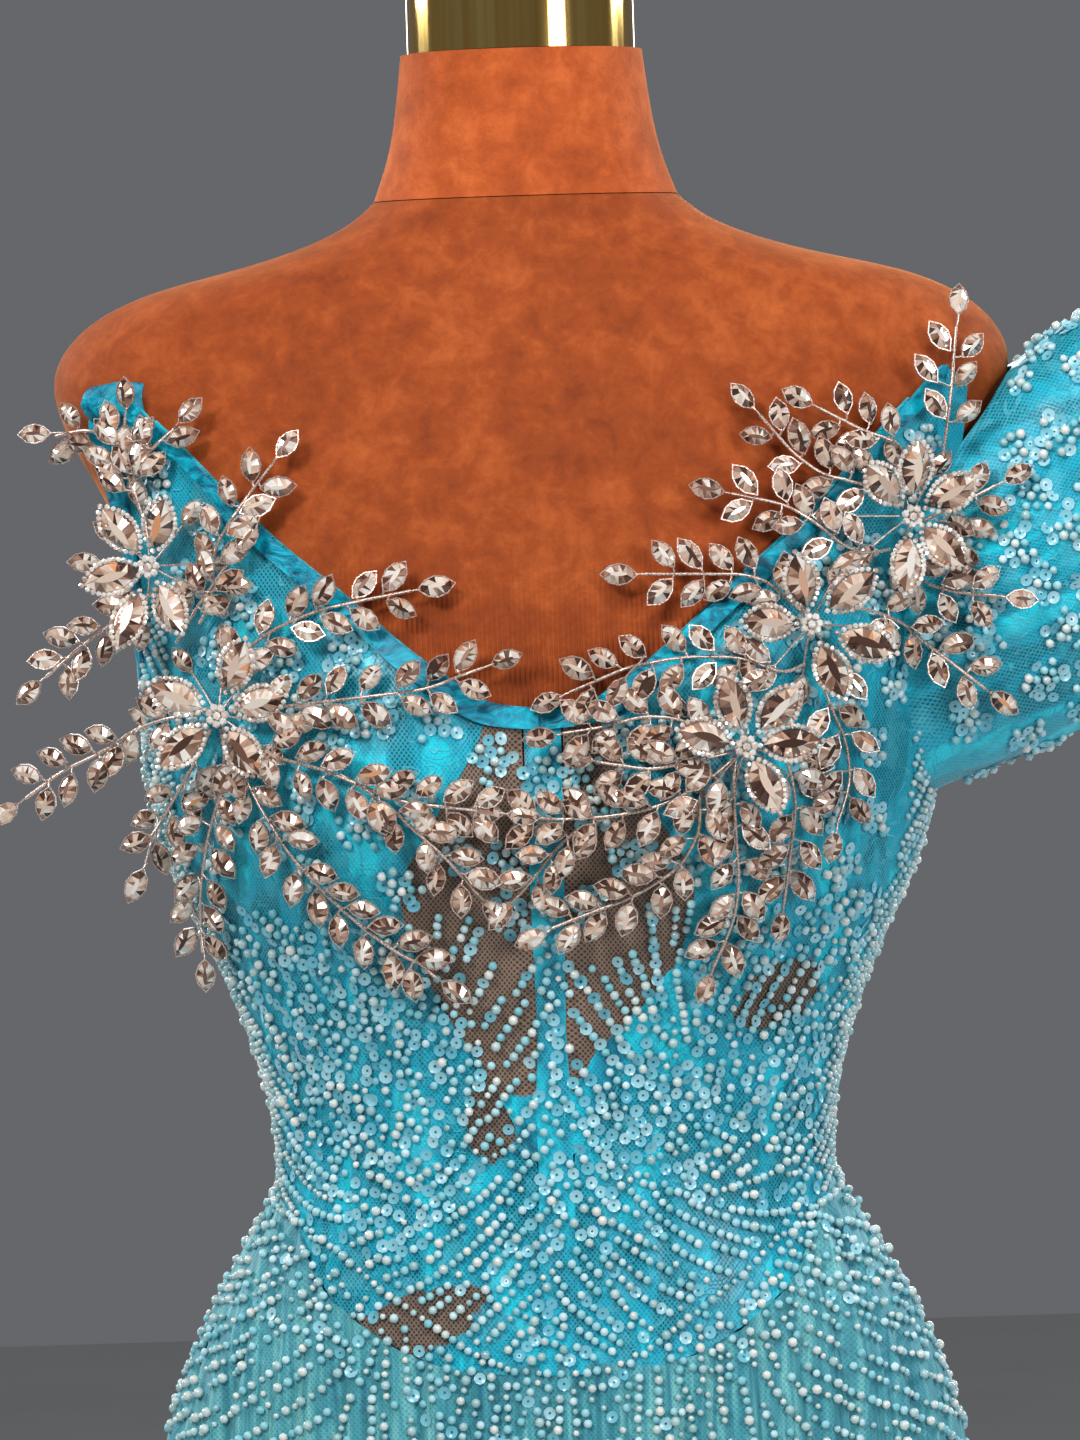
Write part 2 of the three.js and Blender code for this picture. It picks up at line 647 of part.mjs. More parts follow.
// In the profile x runs back from the tape and y runs up from the hinge.
const sliderShape = sideProfile([
  [zipSurface - hingeDepth, -SLIDER.half],
  [zipSurface - hingeDepth + SLIDER.thick, -SLIDER.half],
  [zipSurface - hingeDepth + SLIDER.thick, -SLIDER.loopInner],
]);
sliderShape.absarc(0, 0, SLIDER.loopOuter, -SLIDER.loopOpen, SLIDER.loopOpen, false);
sliderShape.lineTo(zipSurface - hingeDepth + SLIDER.thick, SLIDER.half);
sliderShape.lineTo(zipSurface - hingeDepth, SLIDER.half);
const sliderHole = new THREE.Path();
sliderHole.absarc(0, 0, SLIDER.loopInner, 0, 2 * Math.PI, true);
sliderShape.holes.push(sliderHole);
const profileToSpace = new THREE.Matrix4().makeBasis(
  new THREE.Vector3(0, 1, 0),
  new THREE.Vector3(0, 0, 1),
  new THREE.Vector3(1, 0, 0),
);
profileToSpace.setPosition(-SLIDER.loopWidth / 2, hingeDepth, SLIDER.height);
addExtruded('zip_slider', sliderShape, SLIDER.loopWidth, profileToSpace, steelTrim);

const tabShape = sideProfile([
  [-TAB.width / 2, TAB.eyeTop],
  [-TAB.width / 2, -TAB.length + TAB.width / 2],
]);
tabShape.absarc(0, -TAB.length + TAB.width / 2, TAB.width / 2, Math.PI, 2 * Math.PI, false);
tabShape.lineTo(TAB.width / 2, TAB.eyeTop);
const tabEye = new THREE.Path();
tabEye.moveTo(-TAB.eyeHalf, -TAB.eyeTop);
tabEye.lineTo(TAB.eyeHalf, -TAB.eyeTop);
tabEye.lineTo(TAB.eyeHalf, -TAB.eyeBottom);
tabEye.lineTo(-TAB.eyeHalf, -TAB.eyeBottom);
tabEye.closePath();
tabShape.holes.push(tabEye);
const tabToSpace = new THREE.Matrix4().makeBasis(
  new THREE.Vector3(-1, 0, 0),
  new THREE.Vector3(0, 0, 1),
  new THREE.Vector3(0, 1, 0),
);
tabToSpace.setPosition(0, hingeDepth - TAB.thick / 2, SLIDER.height);
addExtruded('zip_pull_tab', tabShape, TAB.thick, tabToSpace, steelTrim);

// ---------------------------------------------------------------- the rhinestone sprays

const crystal = finish(0xc4aca2, 0.15, 0.3);

// A flower head of five petals, stamped flat and stood on its wires clear of the cloth. The one
// with no branch under it is sunk to the cloth's bound edge.
const FLOWER = { thickness: 2, petals: 5, pointsPerPetal: 6, waist: 0.4, fullness: 0.7 };
const FLOWERS = [
  { name: 'flower_shoulder_left', x: -157, height: 1312, radius: 27, turn: 10, sunk: 1.9 },
  { name: 'flower_chest_left', x: -129, height: 1256, radius: 36, turn: 40 },
  { name: 'flower_shoulder_right', x: 141, height: 1322, radius: 23, turn: 25 },
  { name: 'flower_chest_right', x: 109, height: 1279, radius: 32, turn: 0 },
  { name: 'flower_bust_right', x: 76, height: 1231, radius: 34, turn: 50 },
];

function flowerShape(radius) {
  const count = FLOWER.petals * FLOWER.pointsPerPetal;
  const outline = Array.from({ length: count }, (_, i) => {
    const turn = (2 * Math.PI * i) / count;
    const petal = Math.abs(Math.cos((FLOWER.petals * turn) / 2)) ** FLOWER.fullness;
    const reach = radius * (FLOWER.waist + (1 - FLOWER.waist) * petal);
    return new THREE.Vector2(reach * Math.cos(turn), reach * Math.sin(turn));
  });
  return new THREE.Shape(outline);
}

// The direction straight out of the figure's front at a place.
function frontNormal(x, height, lift) {
  const step = 4;
  const across = frontPoint(x + step, height, lift).sub(frontPoint(x - step, height, lift));
  const up = frontPoint(x, height + step, lift).sub(frontPoint(x, height - step, lift));
  return across.cross(up).normalize();
}

for (const { name, x, height, radius, turn, sunk = 0 } of FLOWERS) {
  const lift = FLOWER_LIFT - sunk;
  const normal = frontNormal(x, height, lift);
  const sideways = new THREE.Vector3(0, 0, 1).cross(normal).normalize();
  const upward = normal.clone().cross(sideways);
  const matrix = new THREE.Matrix4().makeBasis(sideways, upward, normal);
  matrix.setPosition(frontPoint(x, height, lift));
  matrix.multiply(new THREE.Matrix4().makeRotationZ(turn * DEGREE));
  addExtruded(name, flowerShape(radius), FLOWER.thickness, matrix, crystal);
}

// The main wired branches, as ribbons of their leaves' width on the cloth. Each starts beside
// the middle of a flower head, and bow is how far its middle swings to its left.
const BRANCH = { steps: 14, half: 3, start: 8 };
const BRANCHES = [
  { name: 'branch_neck_left', x: -129, height: 1256, toX: -104, toHeight: 1341, bow: -4 },
  { name: 'branch_centre_left', x: -129, height: 1256, toX: -55, toHeight: 1296, bow: -6 },
  { name: 'branch_waist_left', x: -129, height: 1256, toX: -42, toHeight: 1136, bow: 12 },
  { name: 'branch_neck_right', x: 109, height: 1279, toX: 44, toHeight: 1303, bow: 5 },
  { name: 'branch_strap_right', x: 141, height: 1322, toX: 92, toHeight: 1352, bow: 5 },
  { name: 'branch_bust_right', x: 76, height: 1231, toX: 8, toHeight: 1262, bow: 8 },
  { name: 'branch_waist_right', x: 76, height: 1231, toX: 68, toHeight: 1148, bow: -6 },
];

for (const branch of BRANCHES) {
  const start = new THREE.Vector2(branch.x, branch.height);
  const end = new THREE.Vector2(branch.toX, branch.toHeight);
  const along = end.clone().sub(start);
  const leftward = new THREE.Vector2(-along.y, along.x).normalize();
  const first = BRANCH.start / along.length();
  const face = (i, j, which) => {
    const t = THREE.MathUtils.lerp(first, 1, j / BRANCH.steps);
    const place = start.clone().addScaledVector(along, t);
    place.addScaledVector(leftward, branch.bow * Math.sin(Math.PI * t) + (1 - 2 * i) * BRANCH.half);
    return frontPoint(place.x, place.y, VINE[which]);
  };
  addWall(branch.name, 1, BRANCH.steps, face, crystal);
}

export default dress;
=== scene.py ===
import math
import random

import bmesh
import bpy
import numpy as np
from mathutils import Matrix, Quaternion, Vector, noise
from mathutils.bvhtree import BVHTree


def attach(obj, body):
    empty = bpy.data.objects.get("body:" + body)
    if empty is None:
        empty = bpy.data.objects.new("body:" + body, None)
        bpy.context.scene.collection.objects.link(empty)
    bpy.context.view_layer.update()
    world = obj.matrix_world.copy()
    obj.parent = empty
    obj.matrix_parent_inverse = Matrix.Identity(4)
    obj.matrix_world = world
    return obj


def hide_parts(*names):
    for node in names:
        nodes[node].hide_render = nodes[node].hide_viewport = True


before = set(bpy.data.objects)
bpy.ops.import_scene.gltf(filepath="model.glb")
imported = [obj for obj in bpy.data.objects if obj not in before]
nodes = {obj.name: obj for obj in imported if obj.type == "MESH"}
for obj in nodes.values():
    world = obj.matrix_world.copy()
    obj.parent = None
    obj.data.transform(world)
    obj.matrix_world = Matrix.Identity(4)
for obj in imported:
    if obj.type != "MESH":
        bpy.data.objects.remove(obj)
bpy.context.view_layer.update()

bpy.ops.object.select_all(action="DESELECT")

MM = 0.001


# ------------------------------------------------------------------ the room
# A plain studio: a pale floor, large soft lamps at the front and a cooler pair behind the
# shoulders. The camera stands at chest height and frames the bodice.
EYE = Vector((0, -2.6, 1.4))
AIM = Vector((-0.0008, 0, 1.241))
CAMERA_ROLL = math.radians(1.8)
SENSOR_HEIGHT = 24
LENS = 101
BACKDROP = (0.13, 0.135, 0.145, 1)
FLOOR_SIZE = 12

camera = bpy.data.objects.new("camera", bpy.data.cameras.new("camera"))
camera.data.sensor_fit = "VERTICAL"
camera.data.sensor_height = SENSOR_HEIGHT
camera.data.lens = LENS
camera.location = EYE
camera.rotation_mode = "QUATERNION"
turn = (AIM - EYE).to_track_quat("-Z", "Y")
camera.rotation_quaternion = turn @ Quaternion((0, 0, 1), -CAMERA_ROLL)
bpy.context.collection.objects.link(camera)
bpy.context.scene.camera = camera

world = bpy.data.worlds.new("studio")
world.use_nodes = True
world.node_tree.nodes["Background"].inputs["Color"].default_value = BACKDROP
bpy.context.scene.world = world
bpy.context.scene.view_settings.view_transform = "Standard"

LAMPS = [
    {"place": (-1.15, -1.9, 2.7), "size": 0.5, "power": 38, "colour": (1.0, 0.97, 0.93)},
    {"place": (1.6, -2.1, 1.7), "size": 0.8, "power": 25, "colour": (0.95, 0.98, 1.0)},
    {"place": (0.1, -0.75, 2.3), "size": 0.4, "power": 7.5, "colour": (1.0, 0.98, 0.95)},
    {"place": (-1.8, 1.0, 2.1), "size": 0.9, "power": 34, "colour": (0.93, 0.97, 1.0)},
    {"place": (1.9, 1.0, 2.1), "size": 0.9, "power": 34, "colour": (0.93, 0.97, 1.0)},
    {"place": (0, 2.6, 1.6), "size": 1.4, "power": 34, "colour": (1.0, 1.0, 1.0)},
]
LAMP_AIM = Vector((0, 0, 1.2))
for lamp in LAMPS:
    light = bpy.data.lights.new("soft_lamp", "AREA")
    light.size = lamp["size"]
    light.energy = lamp["power"]
    light.color = lamp["colour"]
    holder = bpy.data.objects.new("soft_lamp", light)
    holder.location = lamp["place"]
    holder.rotation_euler = (LAMP_AIM - Vector(lamp["place"])).to_track_quat("-Z", "Y").to_euler()
    bpy.context.collection.objects.link(holder)


def tint(red, green, blue):
    """A colour as a paint maker names it, from 0 to 255, in the shader's own numbers."""
    parts = [part / 255 for part in (red, green, blue)]
    linear = [p / 12.92 if p <= 0.04045 else ((p + 0.055) / 1.055) ** 2.4 for p in parts]
    return (*linear, 1)


class Value:
    """A shader socket that takes part in a sum by adding the Math node for it."""

    def __init__(self, finish, socket):
        self.finish = finish
        self.socket = socket

    def math(self, operation, *terms):
        return self.finish.node("ShaderNodeMath", {"operation": operation}, dict(enumerate(terms)))

    def __add__(self, other):
        return self.math("ADD", self, other)

    def __radd__(self, other):
        return self.math("ADD", other, self)

    def __sub__(self, other):
        return self.math("SUBTRACT", self, other)

    def __rsub__(self, other):
        return self.math("SUBTRACT", other, self)

    def __mul__(self, other):
        return self.math("MULTIPLY", self, other)

    def __rmul__(self, other):
        return self.math("MULTIPLY", other, self)

    def sine(self):
        return self.math("SINE", self)

    def or_more(self, other):
        return self.math("MAXIMUM", self, other)


class Finish:
    """One material: its shader's fixed values, and the nodes that vary over the surface."""

    def __init__(self, name, **fixed):
        self.material = bpy.data.materials.new(name)
        self.material.use_nodes = True
        self.tree = self.material.node_tree
        self.shader = self.tree.nodes["Principled BSDF"]
        for socket, value in fixed.items():
            self.shader.inputs[socket.replace("_", " ")].default_value = value

    def node(self, kind, settings, inputs, output=0):
        made = self.tree.nodes.new(kind)
        for key, value in settings.items():
            if key == "stops":
                ramp = made.color_ramp.elements
                while len(ramp) < len(value):
                    ramp.new(0.5)
                for stop, (position, colour) in zip(ramp, value):
                    stop.position = position
                    stop.color = colour
            else:
                setattr(made, key, value)
        for socket, value in inputs.items():
            if isinstance(value, Value):
                self.tree.links.new(value.socket, made.inputs[socket])
            else:
                made.inputs[socket].default_value = value
        return Value(self, made.outputs[output])

    def feed(self, socket, value):
        self.tree.links.new(value.socket, self.shader.inputs[socket])

    def place(self):
        return self.node("ShaderNodeTexCoord", {}, {}, "Object")

    def cloth_place(self):
        return self.node("ShaderNodeUVMap", {"uv_map": "cloth"}, {})

    def part(self, vector, axis):
        return self.node("ShaderNodeSeparateXYZ", {}, {0: vector}, axis)

    def stretched(self, vector, x, y, z):
        return self.node("ShaderNodeVectorMath", {"operation": "MULTIPLY"}, {0: vector, 1: (x, y, z)})

    def noise(self, vector, scale, detail=2, rough=0.5, bend=0):
        values = {"Vector": vector, "Scale": scale, "Detail": detail, "Roughness": rough, "Distortion": bend}
        return self.node("ShaderNodeTexNoise", {}, values)

    def ramp(self, factor, *stops):
        return self.node("ShaderNodeValToRGB", {"stops": stops}, {0: factor})

    def span(self, value, low, high, start=0, end=1):
        settings = {"interpolation_type": "SMOOTHSTEP"}
        return self.node("ShaderNodeMapRange", settings, {0: value, 1: low, 2: high, 3: start, 4: end})

    def mix(self, factor, first, second, how="MIX"):
        settings = {"data_type": "RGBA", "blend_type": how}
        return self.node("ShaderNodeMix", settings, {0: factor, 6: first, 7: second}, 2)

    def bump(self, height, depth):
        """Raises the surface by depth metres where height is one."""
        values = {"Strength": 1, "Distance": depth, "Height": height}
        self.feed("Normal", self.node("ShaderNodeBump", {}, values))

    def tone(self):
        """The tone that each copy of a repeated shape, or each facet of it, was given."""
        return self.node("ShaderNodeAttribute", {"attribute_name": "tone"}, {}, 2)


floor = Finish("pale_floor", Roughness=0.75)
floor_grain = floor.noise(floor.place(), 3, 3)
floor.feed("Base Color", floor.ramp(floor_grain, (0.3, tint(206, 205, 203)), (0.7, tint(214, 213, 211))))
bpy.ops.mesh.primitive_plane_add(size=FLOOR_SIZE)
ground = bpy.context.object
ground.name = "studio_floor"
ground.data.materials.append(floor.material)


# ------------------------------------------------------------------ the dress form
# A padded torso and neck, covered in one stretched suede skin over a ribbed lining that shows
# through low on the chest. A mirror-bright turned cap closes the neck; a steel foot carries it.
def select_only(piece):
    bpy.ops.object.select_all(action="DESELECT")
    piece.select_set(True)
    bpy.context.view_layer.objects.active = piece


def copy_of(node, name):
    """A new piece with the shape of a CAD node, its loose triangles joined into quads."""
    source = nodes[node].data
    mesh = bpy.data.meshes.new(name)
    mesh.from_pydata([v.co for v in source.vertices], [], [list(f.vertices) for f in source.polygons])
    piece = bpy.data.objects.new(name, mesh)
    bpy.context.collection.objects.link(piece)
    select_only(piece)
    bpy.ops.object.mode_set(mode="EDIT")
    bpy.ops.mesh.select_all(action="SELECT")
    bpy.ops.mesh.remove_doubles(threshold=0.01 * MM)
    bpy.ops.mesh.tris_convert_to_quads(face_threshold=math.radians(60), shape_threshold=math.radians(120))
    bpy.ops.object.mode_set(mode="OBJECT")
    return piece


def smooth_out(piece, levels, sharp=50):
    """Subdivides a piece, keeps its rims crisp and shades the rest smooth."""
    select_only(piece)
    cage = bmesh.new()
    cage.from_mesh(piece.data)
    crease = cage.edges.layers.float.new("crease_edge")
    for edge in cage.edges:
        if edge.calc_face_angle(math.pi) > math.radians(sharp):
            edge[crease] = 1
    cage.to_mesh(piece.data)
    cage.free()
    modifier = piece.modifiers.new("Subdivision", "SUBSURF")
    modifier.levels = levels
    modifier.render_levels = levels
    bpy.ops.object.modifier_apply(modifier=modifier.name)
    piece.data.attributes.remove(piece.data.attributes["crease_edge"])
    bpy.ops.object.shade_smooth_by_angle(angle=math.radians(sharp))


def points_of(piece):
    flat = np.empty(len(piece.data.vertices) * 3)
    piece.data.vertices.foreach_get("co", flat)
    return flat.reshape(-1, 3)


def move_points(piece, points):
    piece.data.vertices.foreach_set("co", points.ravel())
    piece.data.update()


def cover(piece, finish):
    piece.data.materials.clear()
    piece.data.materials.append(finish.material)


def finish_piece(piece, finish, slot, *replaced):
    """Covers a piece, states it as a fixed part of the gown or form, and gives it back."""
    cover(piece, finish)
    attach(piece, "root")
    if replaced:
        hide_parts(*replaced)
    return piece


RIB_PITCH = 2.1 * MM
RIB_TOP = 1.325
RIB_FADE = 0.06


def suede_skin(name, dark, mid, pale):
    """Brushed suede in three mottled tones, with the lining's ribs low on the chest."""
    suede = Finish(
        name, Roughness=0.82, Specular_IOR_Level=0.25,
        Sheen_Weight=0.5, Sheen_Roughness=0.35, Sheen_Tint=tint(255, 176, 112),
    )
    place = suede.place()
    cloud = suede.noise(place, 13, 5, 0.7)
    nap = suede.noise(place, 75, 4, 0.7, 0.3)
    colour = suede.ramp(cloud * 0.45 + nap * 0.55, (0.33, dark), (0.5, mid), (0.67, pale))
    ribs = (suede.part(place, 0) * (math.tau / RIB_PITCH)).sine()
    ribs = ribs * suede.span(suede.part(place, 2), RIB_TOP - RIB_FADE, RIB_TOP, 1, 0)
    suede.feed("Base Color", suede.mix(suede.span(ribs, -1, 1, 0, 0.30), colour, dark))
    fibre = suede.noise(place, 900, 3, 0.7)
    suede.bump(fibre * 0.8 + nap * 1.2 + ribs * 0.9, 0.35 * MM)
    return suede


torso_suede = suede_skin("torso_suede", tint(120, 49, 16), tint(155, 69, 24), tint(190, 95, 42))
# Painted light: the neck wears the same suede in paler tones than the torso, as though lit more strongly
# from above.
neck_suede = suede_skin("neck_suede", tint(146, 62, 23), tint(186, 86, 36), tint(220, 114, 57))
form = copy_of("form_torso", "form_torso_skin")
smooth_out(form, 2, sharp=40)
finish_piece(form, torso_suede, "suede", "form_torso")
neck = copy_of("form_neck", "form_neck_skin")
smooth_out(neck, 2)
finish_piece(neck, neck_suede, "suede", "form_neck")

gold = Finish("mirror_gold", Metallic=1.0)
# Painted reflection: long upright streaks of paler and deeper gold stand in for the room mirrored in the
# polished cap. The same streaks vary its roughness.
gold_streak_painted_reflection = gold.noise(gold.stretched(gold.place(), 1, 1, 0.02), 160, 3, 0.6)
gold.feed("Base Color", gold.ramp(gold_streak_painted_reflection, (0.3, tint(226, 172, 86)), (0.7, tint(252, 214, 128))))
gold.feed("Roughness", gold.span(gold_streak_painted_reflection, 0.2, 0.8, 0.05, 0.12))
cap = copy_of("form_cap", "form_cap_turned")
smooth_out(cap, 2, sharp=25)
finish_piece(cap, gold, "gold", "form_cap")

steel = Finish("black_steel", Metallic=0.75)
steel_grain = steel.noise(steel.place(), 260, 4)
steel.feed("Base Color", steel.ramp(steel_grain, (0.3, tint(34, 34, 36)), (0.7, tint(54, 54, 58))))
steel.feed("Roughness", steel.span(steel_grain, 0.2, 0.8, 0.34, 0.5))
steel.bump(steel_grain, 0.05 * MM)
for part in ("stand_base", "stand_pole"):
    cover(nodes[part], steel)


# ------------------------------------------------------------------ the body's map
# Cloth and beads are laid out on the gown by an angle from the centre front and a height. The
# map holds the gown's radius at each, and the width of cloth from the centre front to there.
ANGLE_STEP = 1.5
HEIGHT_STEP = 5 * MM
MAP_ANGLES = np.arange(-180, 180 + ANGLE_STEP / 2, ANGLE_STEP)
MAP_HEIGHTS = np.arange(10 * MM, 1.405, HEIGHT_STEP)
RAY_START = 0.9


def tree_of(pieces):
    corners, faces = [], []
    for piece in pieces:
        first = len(corners)
        corners += [tuple(v.co) for v in piece.data.vertices]
        faces += [[first + i for i in f.vertices] for f in piece.data.polygons]
    return BVHTree.FromPolygons(corners, faces)


def radius_map(tree):
    """Radii of the cloth's outside. A ray lost in the gap of a seam takes its neighbours' mean."""
    radii = np.full((len(MAP_HEIGHTS), len(MAP_ANGLES)), np.nan)
    for j, angle in enumerate(np.radians(MAP_ANGLES)):
        outward = Vector((math.sin(angle), -math.cos(angle), 0))
        for i, height in enumerate(MAP_HEIGHTS):
            start = outward * RAY_START + Vector((0, 0, height))
            hit = tree.ray_cast(start, -outward, RAY_START)[0]
            if hit is not None:
                radii[i, j] = hit.xy.length
    before = np.concatenate([radii[:, -2:-1], radii[:, :-1]], axis=1)
    after = np.concatenate([radii[:, 1:], radii[:, 1:2]], axis=1)
    return np.where(np.isnan(radii), (before + after) / 2, radii)


def read_map(table, angle, height):
    """The table's value between its rows and columns, for single numbers or for arrays."""
    column = np.clip((angle + 180) / ANGLE_STEP, 0, len(MAP_ANGLES) - 1.001)
    row = np.clip((height - MAP_HEIGHTS[0]) / HEIGHT_STEP, 0, len(MAP_HEIGHTS) - 1.001)
    j = np.floor(column).astype(int)
    i = np.floor(row).astype(int)
    across = column - j
    up = row - i
    low = table[i, j] * (1 - across) + table[i, j + 1] * across
    high = table[i + 1, j] * (1 - across) + table[i + 1, j + 1] * across
    return low * (1 - up) + high * up


BODICE = ["centre_front_strip"] + [
    f"{panel}_{side}"
    for side in ("left", "right")
    for panel in ("lower_front", "mesh_inset", "cup", "side_front", "side_back", "centre_back")
]
GORES = ["front_gore", "side_gore_left", "side_gore_right", "back_gore_left", "back_gore_right"]
FLARES = [f"flare_panel_{k}" for k in range(1, 9)]

cut_radii = radius_map(tree_of([nodes[name] for name in BODICE + GORES + FLARES]))
for i in range(1, len(MAP_HEIGHTS)):
    missing = np.isnan(cut_radii[i])
    cut_radii[i, missing] = cut_radii[i - 1, missing]
middle_radii = (cut_radii[:, 1:] + cut_radii[:, :-1]) / 2
stretch = np.abs(np.diff(cut_radii, axis=1))
steps = np.hypot(middle_radii * math.radians(ANGLE_STEP), stretch)
cloth_width = np.concatenate([np.zeros((len(MAP_HEIGHTS), 1)), np.cumsum(steps, axis=1)], axis=1)
cloth_width -= cloth_width[:, [len(MAP_ANGLES) // 2]]


# ------------------------------------------------------------------ the gown's cloth
# Beaded net laid over satin is cut in panels for the bodice, with two windows of bare brown
# net. Gathered tulle makes the skirt down to the knee, and eight flared panels the hem.
def around(points, near):
    """Angles from the centre front, kept on the same side of the back seam as `near`."""
    angles = np.degrees(np.arctan2(points[:, 0], -points[:, 1]))
    angles = np.where(angles - near > 180, angles - 360, angles)
    return np.where(near - angles > 180, angles + 360, angles)


def level_outward(points):
    """The level direction from the gown's middle line out through each point."""
    outward = points * (1, 1, 0)
    return outward / np.linalg.norm(outward, axis=1)[:, None]


def fold_lift(flat, start, end, half, rise):
    """How far a soft fold from start to end lifts the flat cloth; half width and rise in mm."""
    line = end - start
    share = np.clip((flat - start) @ line / (line @ line), 0, 1)
    apart = np.linalg.norm(flat - start - share[:, None] * line, axis=1)
    fade = np.sin(np.pi * np.clip(share * 0.9 + 0.05, 0, 1))
    return rise * MM * fade * np.exp(-((apart / (half * MM)) ** 2))


# Soft folds pressed into the bodice: from and to (angle, height), half width and rise in mm.
BODICE_FOLDS = [
    ((-38, 1160), (-30, 1075), 6, 1.6), ((-46, 1185), (-41, 1110), 7, 1.4),
    ((-26, 1128), (-19, 1060), 5, 1.5), ((-62, 1120), (-48, 1068), 8, 1.8),
    ((-78, 1105), (-60, 1050), 8, 2.0), ((-85, 1078), (-70, 1042), 7, 1.6),
    ((34, 1150), (27, 1080), 6, 1.5), ((43, 1172), (38, 1098), 7, 1.5),
    ((14, 1082), (24, 1006), 6, 1.8), ((24, 1076), (36, 1018), 5, 1.6),
    ((60, 1126), (50, 1066), 8, 1.9), ((80, 1110), (62, 1052), 8, 2.0),
    ((6, 1050), (12, 990), 5, 1.4), ((-8, 1052), (-4, 992), 6, 1.3),
    ((88, 1075), (72, 1044), 7, 1.6), ((118, 1150), (128, 1062), 9, 1.9),
    ((150, 1135), (146, 1058), 8, 1.6), ((-120, 1145), (-131, 1060), 9, 1.8),
    ((-152, 1140), (-147, 1056), 8, 1.7), ((-104, 1120), (-112, 1056), 7, 1.6),
    ((103, 1118), (109, 1060), 7, 1.7), ((-20, 1240), (-34, 1190), 9, -0.9),
    ((26, 1236), (38, 1188), 9, -0.9),
]


def bodice_push(points, angles):
    """How far the bodice's folds push each point out, in metres."""
    flat = np.stack([read_map(cloth_width, angles, points[:, 2]), points[:, 2]], axis=1)
    out = np.zeros(len(points))
    for (angle_a, height_a), (angle_b, height_b), half, rise in BODICE_FOLDS:
        start = np.array([read_map(cloth_width, angle_a, height_a * MM), height_a * MM])
        end = np.array([read_map(cloth_width, angle_b, height_b * MM), height_b * MM])
        out += fold_lift(flat, start, end, half, rise)
    return out


# The seam between the bodice and the skirt: its height, in mm, by the angle from the front.
# The skirt's top is tucked up behind the bodice there.
WAIST_ANGLES = [0, 12, 22, 34, 45, 55, 70, 90, 180]
WAIST_HEIGHTS = [973, 974.5, 982, 996, 1009, 1023, 1034, 1040, 1046]
WAIST_TUCK = {"reach": 9 * MM, "rise": 4.5 * MM, "inward": 0.6 * MM}
# Three sets of ridges: how far apart they stand on the cloth and how high they are, in mm.
GATHER_PITCHES = ((19, 1.25), (11.5, 0.7), (31, 0.8))
GATHER_TOP = 1.05
GATHER_END = 0.62
HIP_HEIGHT = 0.93


def gathered(points, angles):
    """Uneven soft ridges that run down from the waist seam and die out above the knee."""
    heights = points[:, 2]
    widths = read_map(cloth_width, angles, heights)
    hips = read_map(cloth_width, angles, np.full(len(points), HIP_HEIGHT))
    share = np.clip((heights - GATHER_END) / (GATHER_TOP - GATHER_END), 0, 1)
    laid = widths * 0.4 + hips * 0.6
    ridge = 0
    for k, (pitch, depth) in enumerate(GATHER_PITCHES):
        sway = 0.9 * np.sin(heights * (21 + 9 * k) + 1.7 * k + laid * 13)
        ridge = ridge + depth * np.sin(2 * np.pi * laid / (pitch * MM) + sway + 2.1 * k)
    waist = np.interp(np.abs(angles), WAIST_ANGLES, WAIST_HEIGHTS) * MM
    tucked = np.clip(1 - (waist - heights) / WAIST_TUCK["reach"], 0, 1)
    points[:, 2] += WAIST_TUCK["rise"] * tucked
    return (ridge + 0.9) * MM * share**0.7 * (1 - 0.8 * tucked) - WAIST_TUCK["inward"] * tucked


FLARE_TOP = 0.5
FLARE_GRAIN = 0.3
FLARE_FOLD = 7.5 * MM
# The hem's small folds: how many go round, where each set starts, and its share of the depth.
FLARE_WAVES = ((27, 0.8, 1), (19, 2.2, 0.7), (43, 0, 0.5))


def flared(points, angles):
    """Smaller uneven folds between the large ones that the hem is cut with."""
    drop = np.clip((FLARE_TOP - points[:, 2]) / FLARE_TOP, 0, 1)
    turn = np.radians(angles)
    wave = sum(share * np.sin(count * turn + start) for count, start, share in FLARE_WAVES)
    return FLARE_FOLD * drop**1.2 * wave


SEAM_LAP = 0.45 * MM
EDGE_FACING = 0.45


def lap_seams(piece):
    """Grows a panel by the turned-in edge that the seam takes up, so that panels meet."""
    points = points_of(piece)
    count = len(piece.data.polygons)
    normals = np.empty(count * 3)
    centres = np.empty(count * 3)
    piece.data.polygons.foreach_get("normal", normals)
    piece.data.polygons.foreach_get("center", centres)
    normals = normals.reshape(-1, 3)
    outward = level_outward(centres.reshape(-1, 3))
    edge = np.nonzero(np.abs(np.einsum("pk,pk->p", normals, outward)) < EDGE_FACING)[0]
    grow = np.zeros_like(points)
    for face in edge:
        grow[list(piece.data.polygons[face].vertices)] += normals[face]
    size = np.linalg.norm(grow, axis=1)
    grow[size > 0] /= size[size > 0][:, None]
    move_points(piece, points + grow * SEAM_LAP)


def lay_cloth_map(piece, flat):
    """Stores where each corner lies on the uncut cloth, in metres, as the map named cloth."""
    layer = piece.data.uv_layers.new(name="cloth")
    corner = np.empty(len(piece.data.loops), int)
    piece.data.loops.foreach_get("vertex_index", corner)
    layer.data.foreach_set("uv", flat[corner].astype(np.float32).ravel())


def make_cloth(node, levels, push, near):
    """A panel of cloth on its solid's form: smoothed, lapped at its seams and folded."""
    piece = copy_of(node, f"{node}_cloth")
    smooth_out(piece, levels)
    lap_seams(piece)
    points = points_of(piece)
    angles = around(points, near)
    outward = level_outward(points)
    lift = push(points, angles)
    move_points(piece, points + outward * lift[:, None])
    widths = read_map(cloth_width, np.clip(angles, -180, 180), points[:, 2])
    if push is flared:
        widths = np.radians(angles) * FLARE_GRAIN
    lay_cloth_map(piece, np.stack([widths, points[:, 2]], axis=1))
    return piece


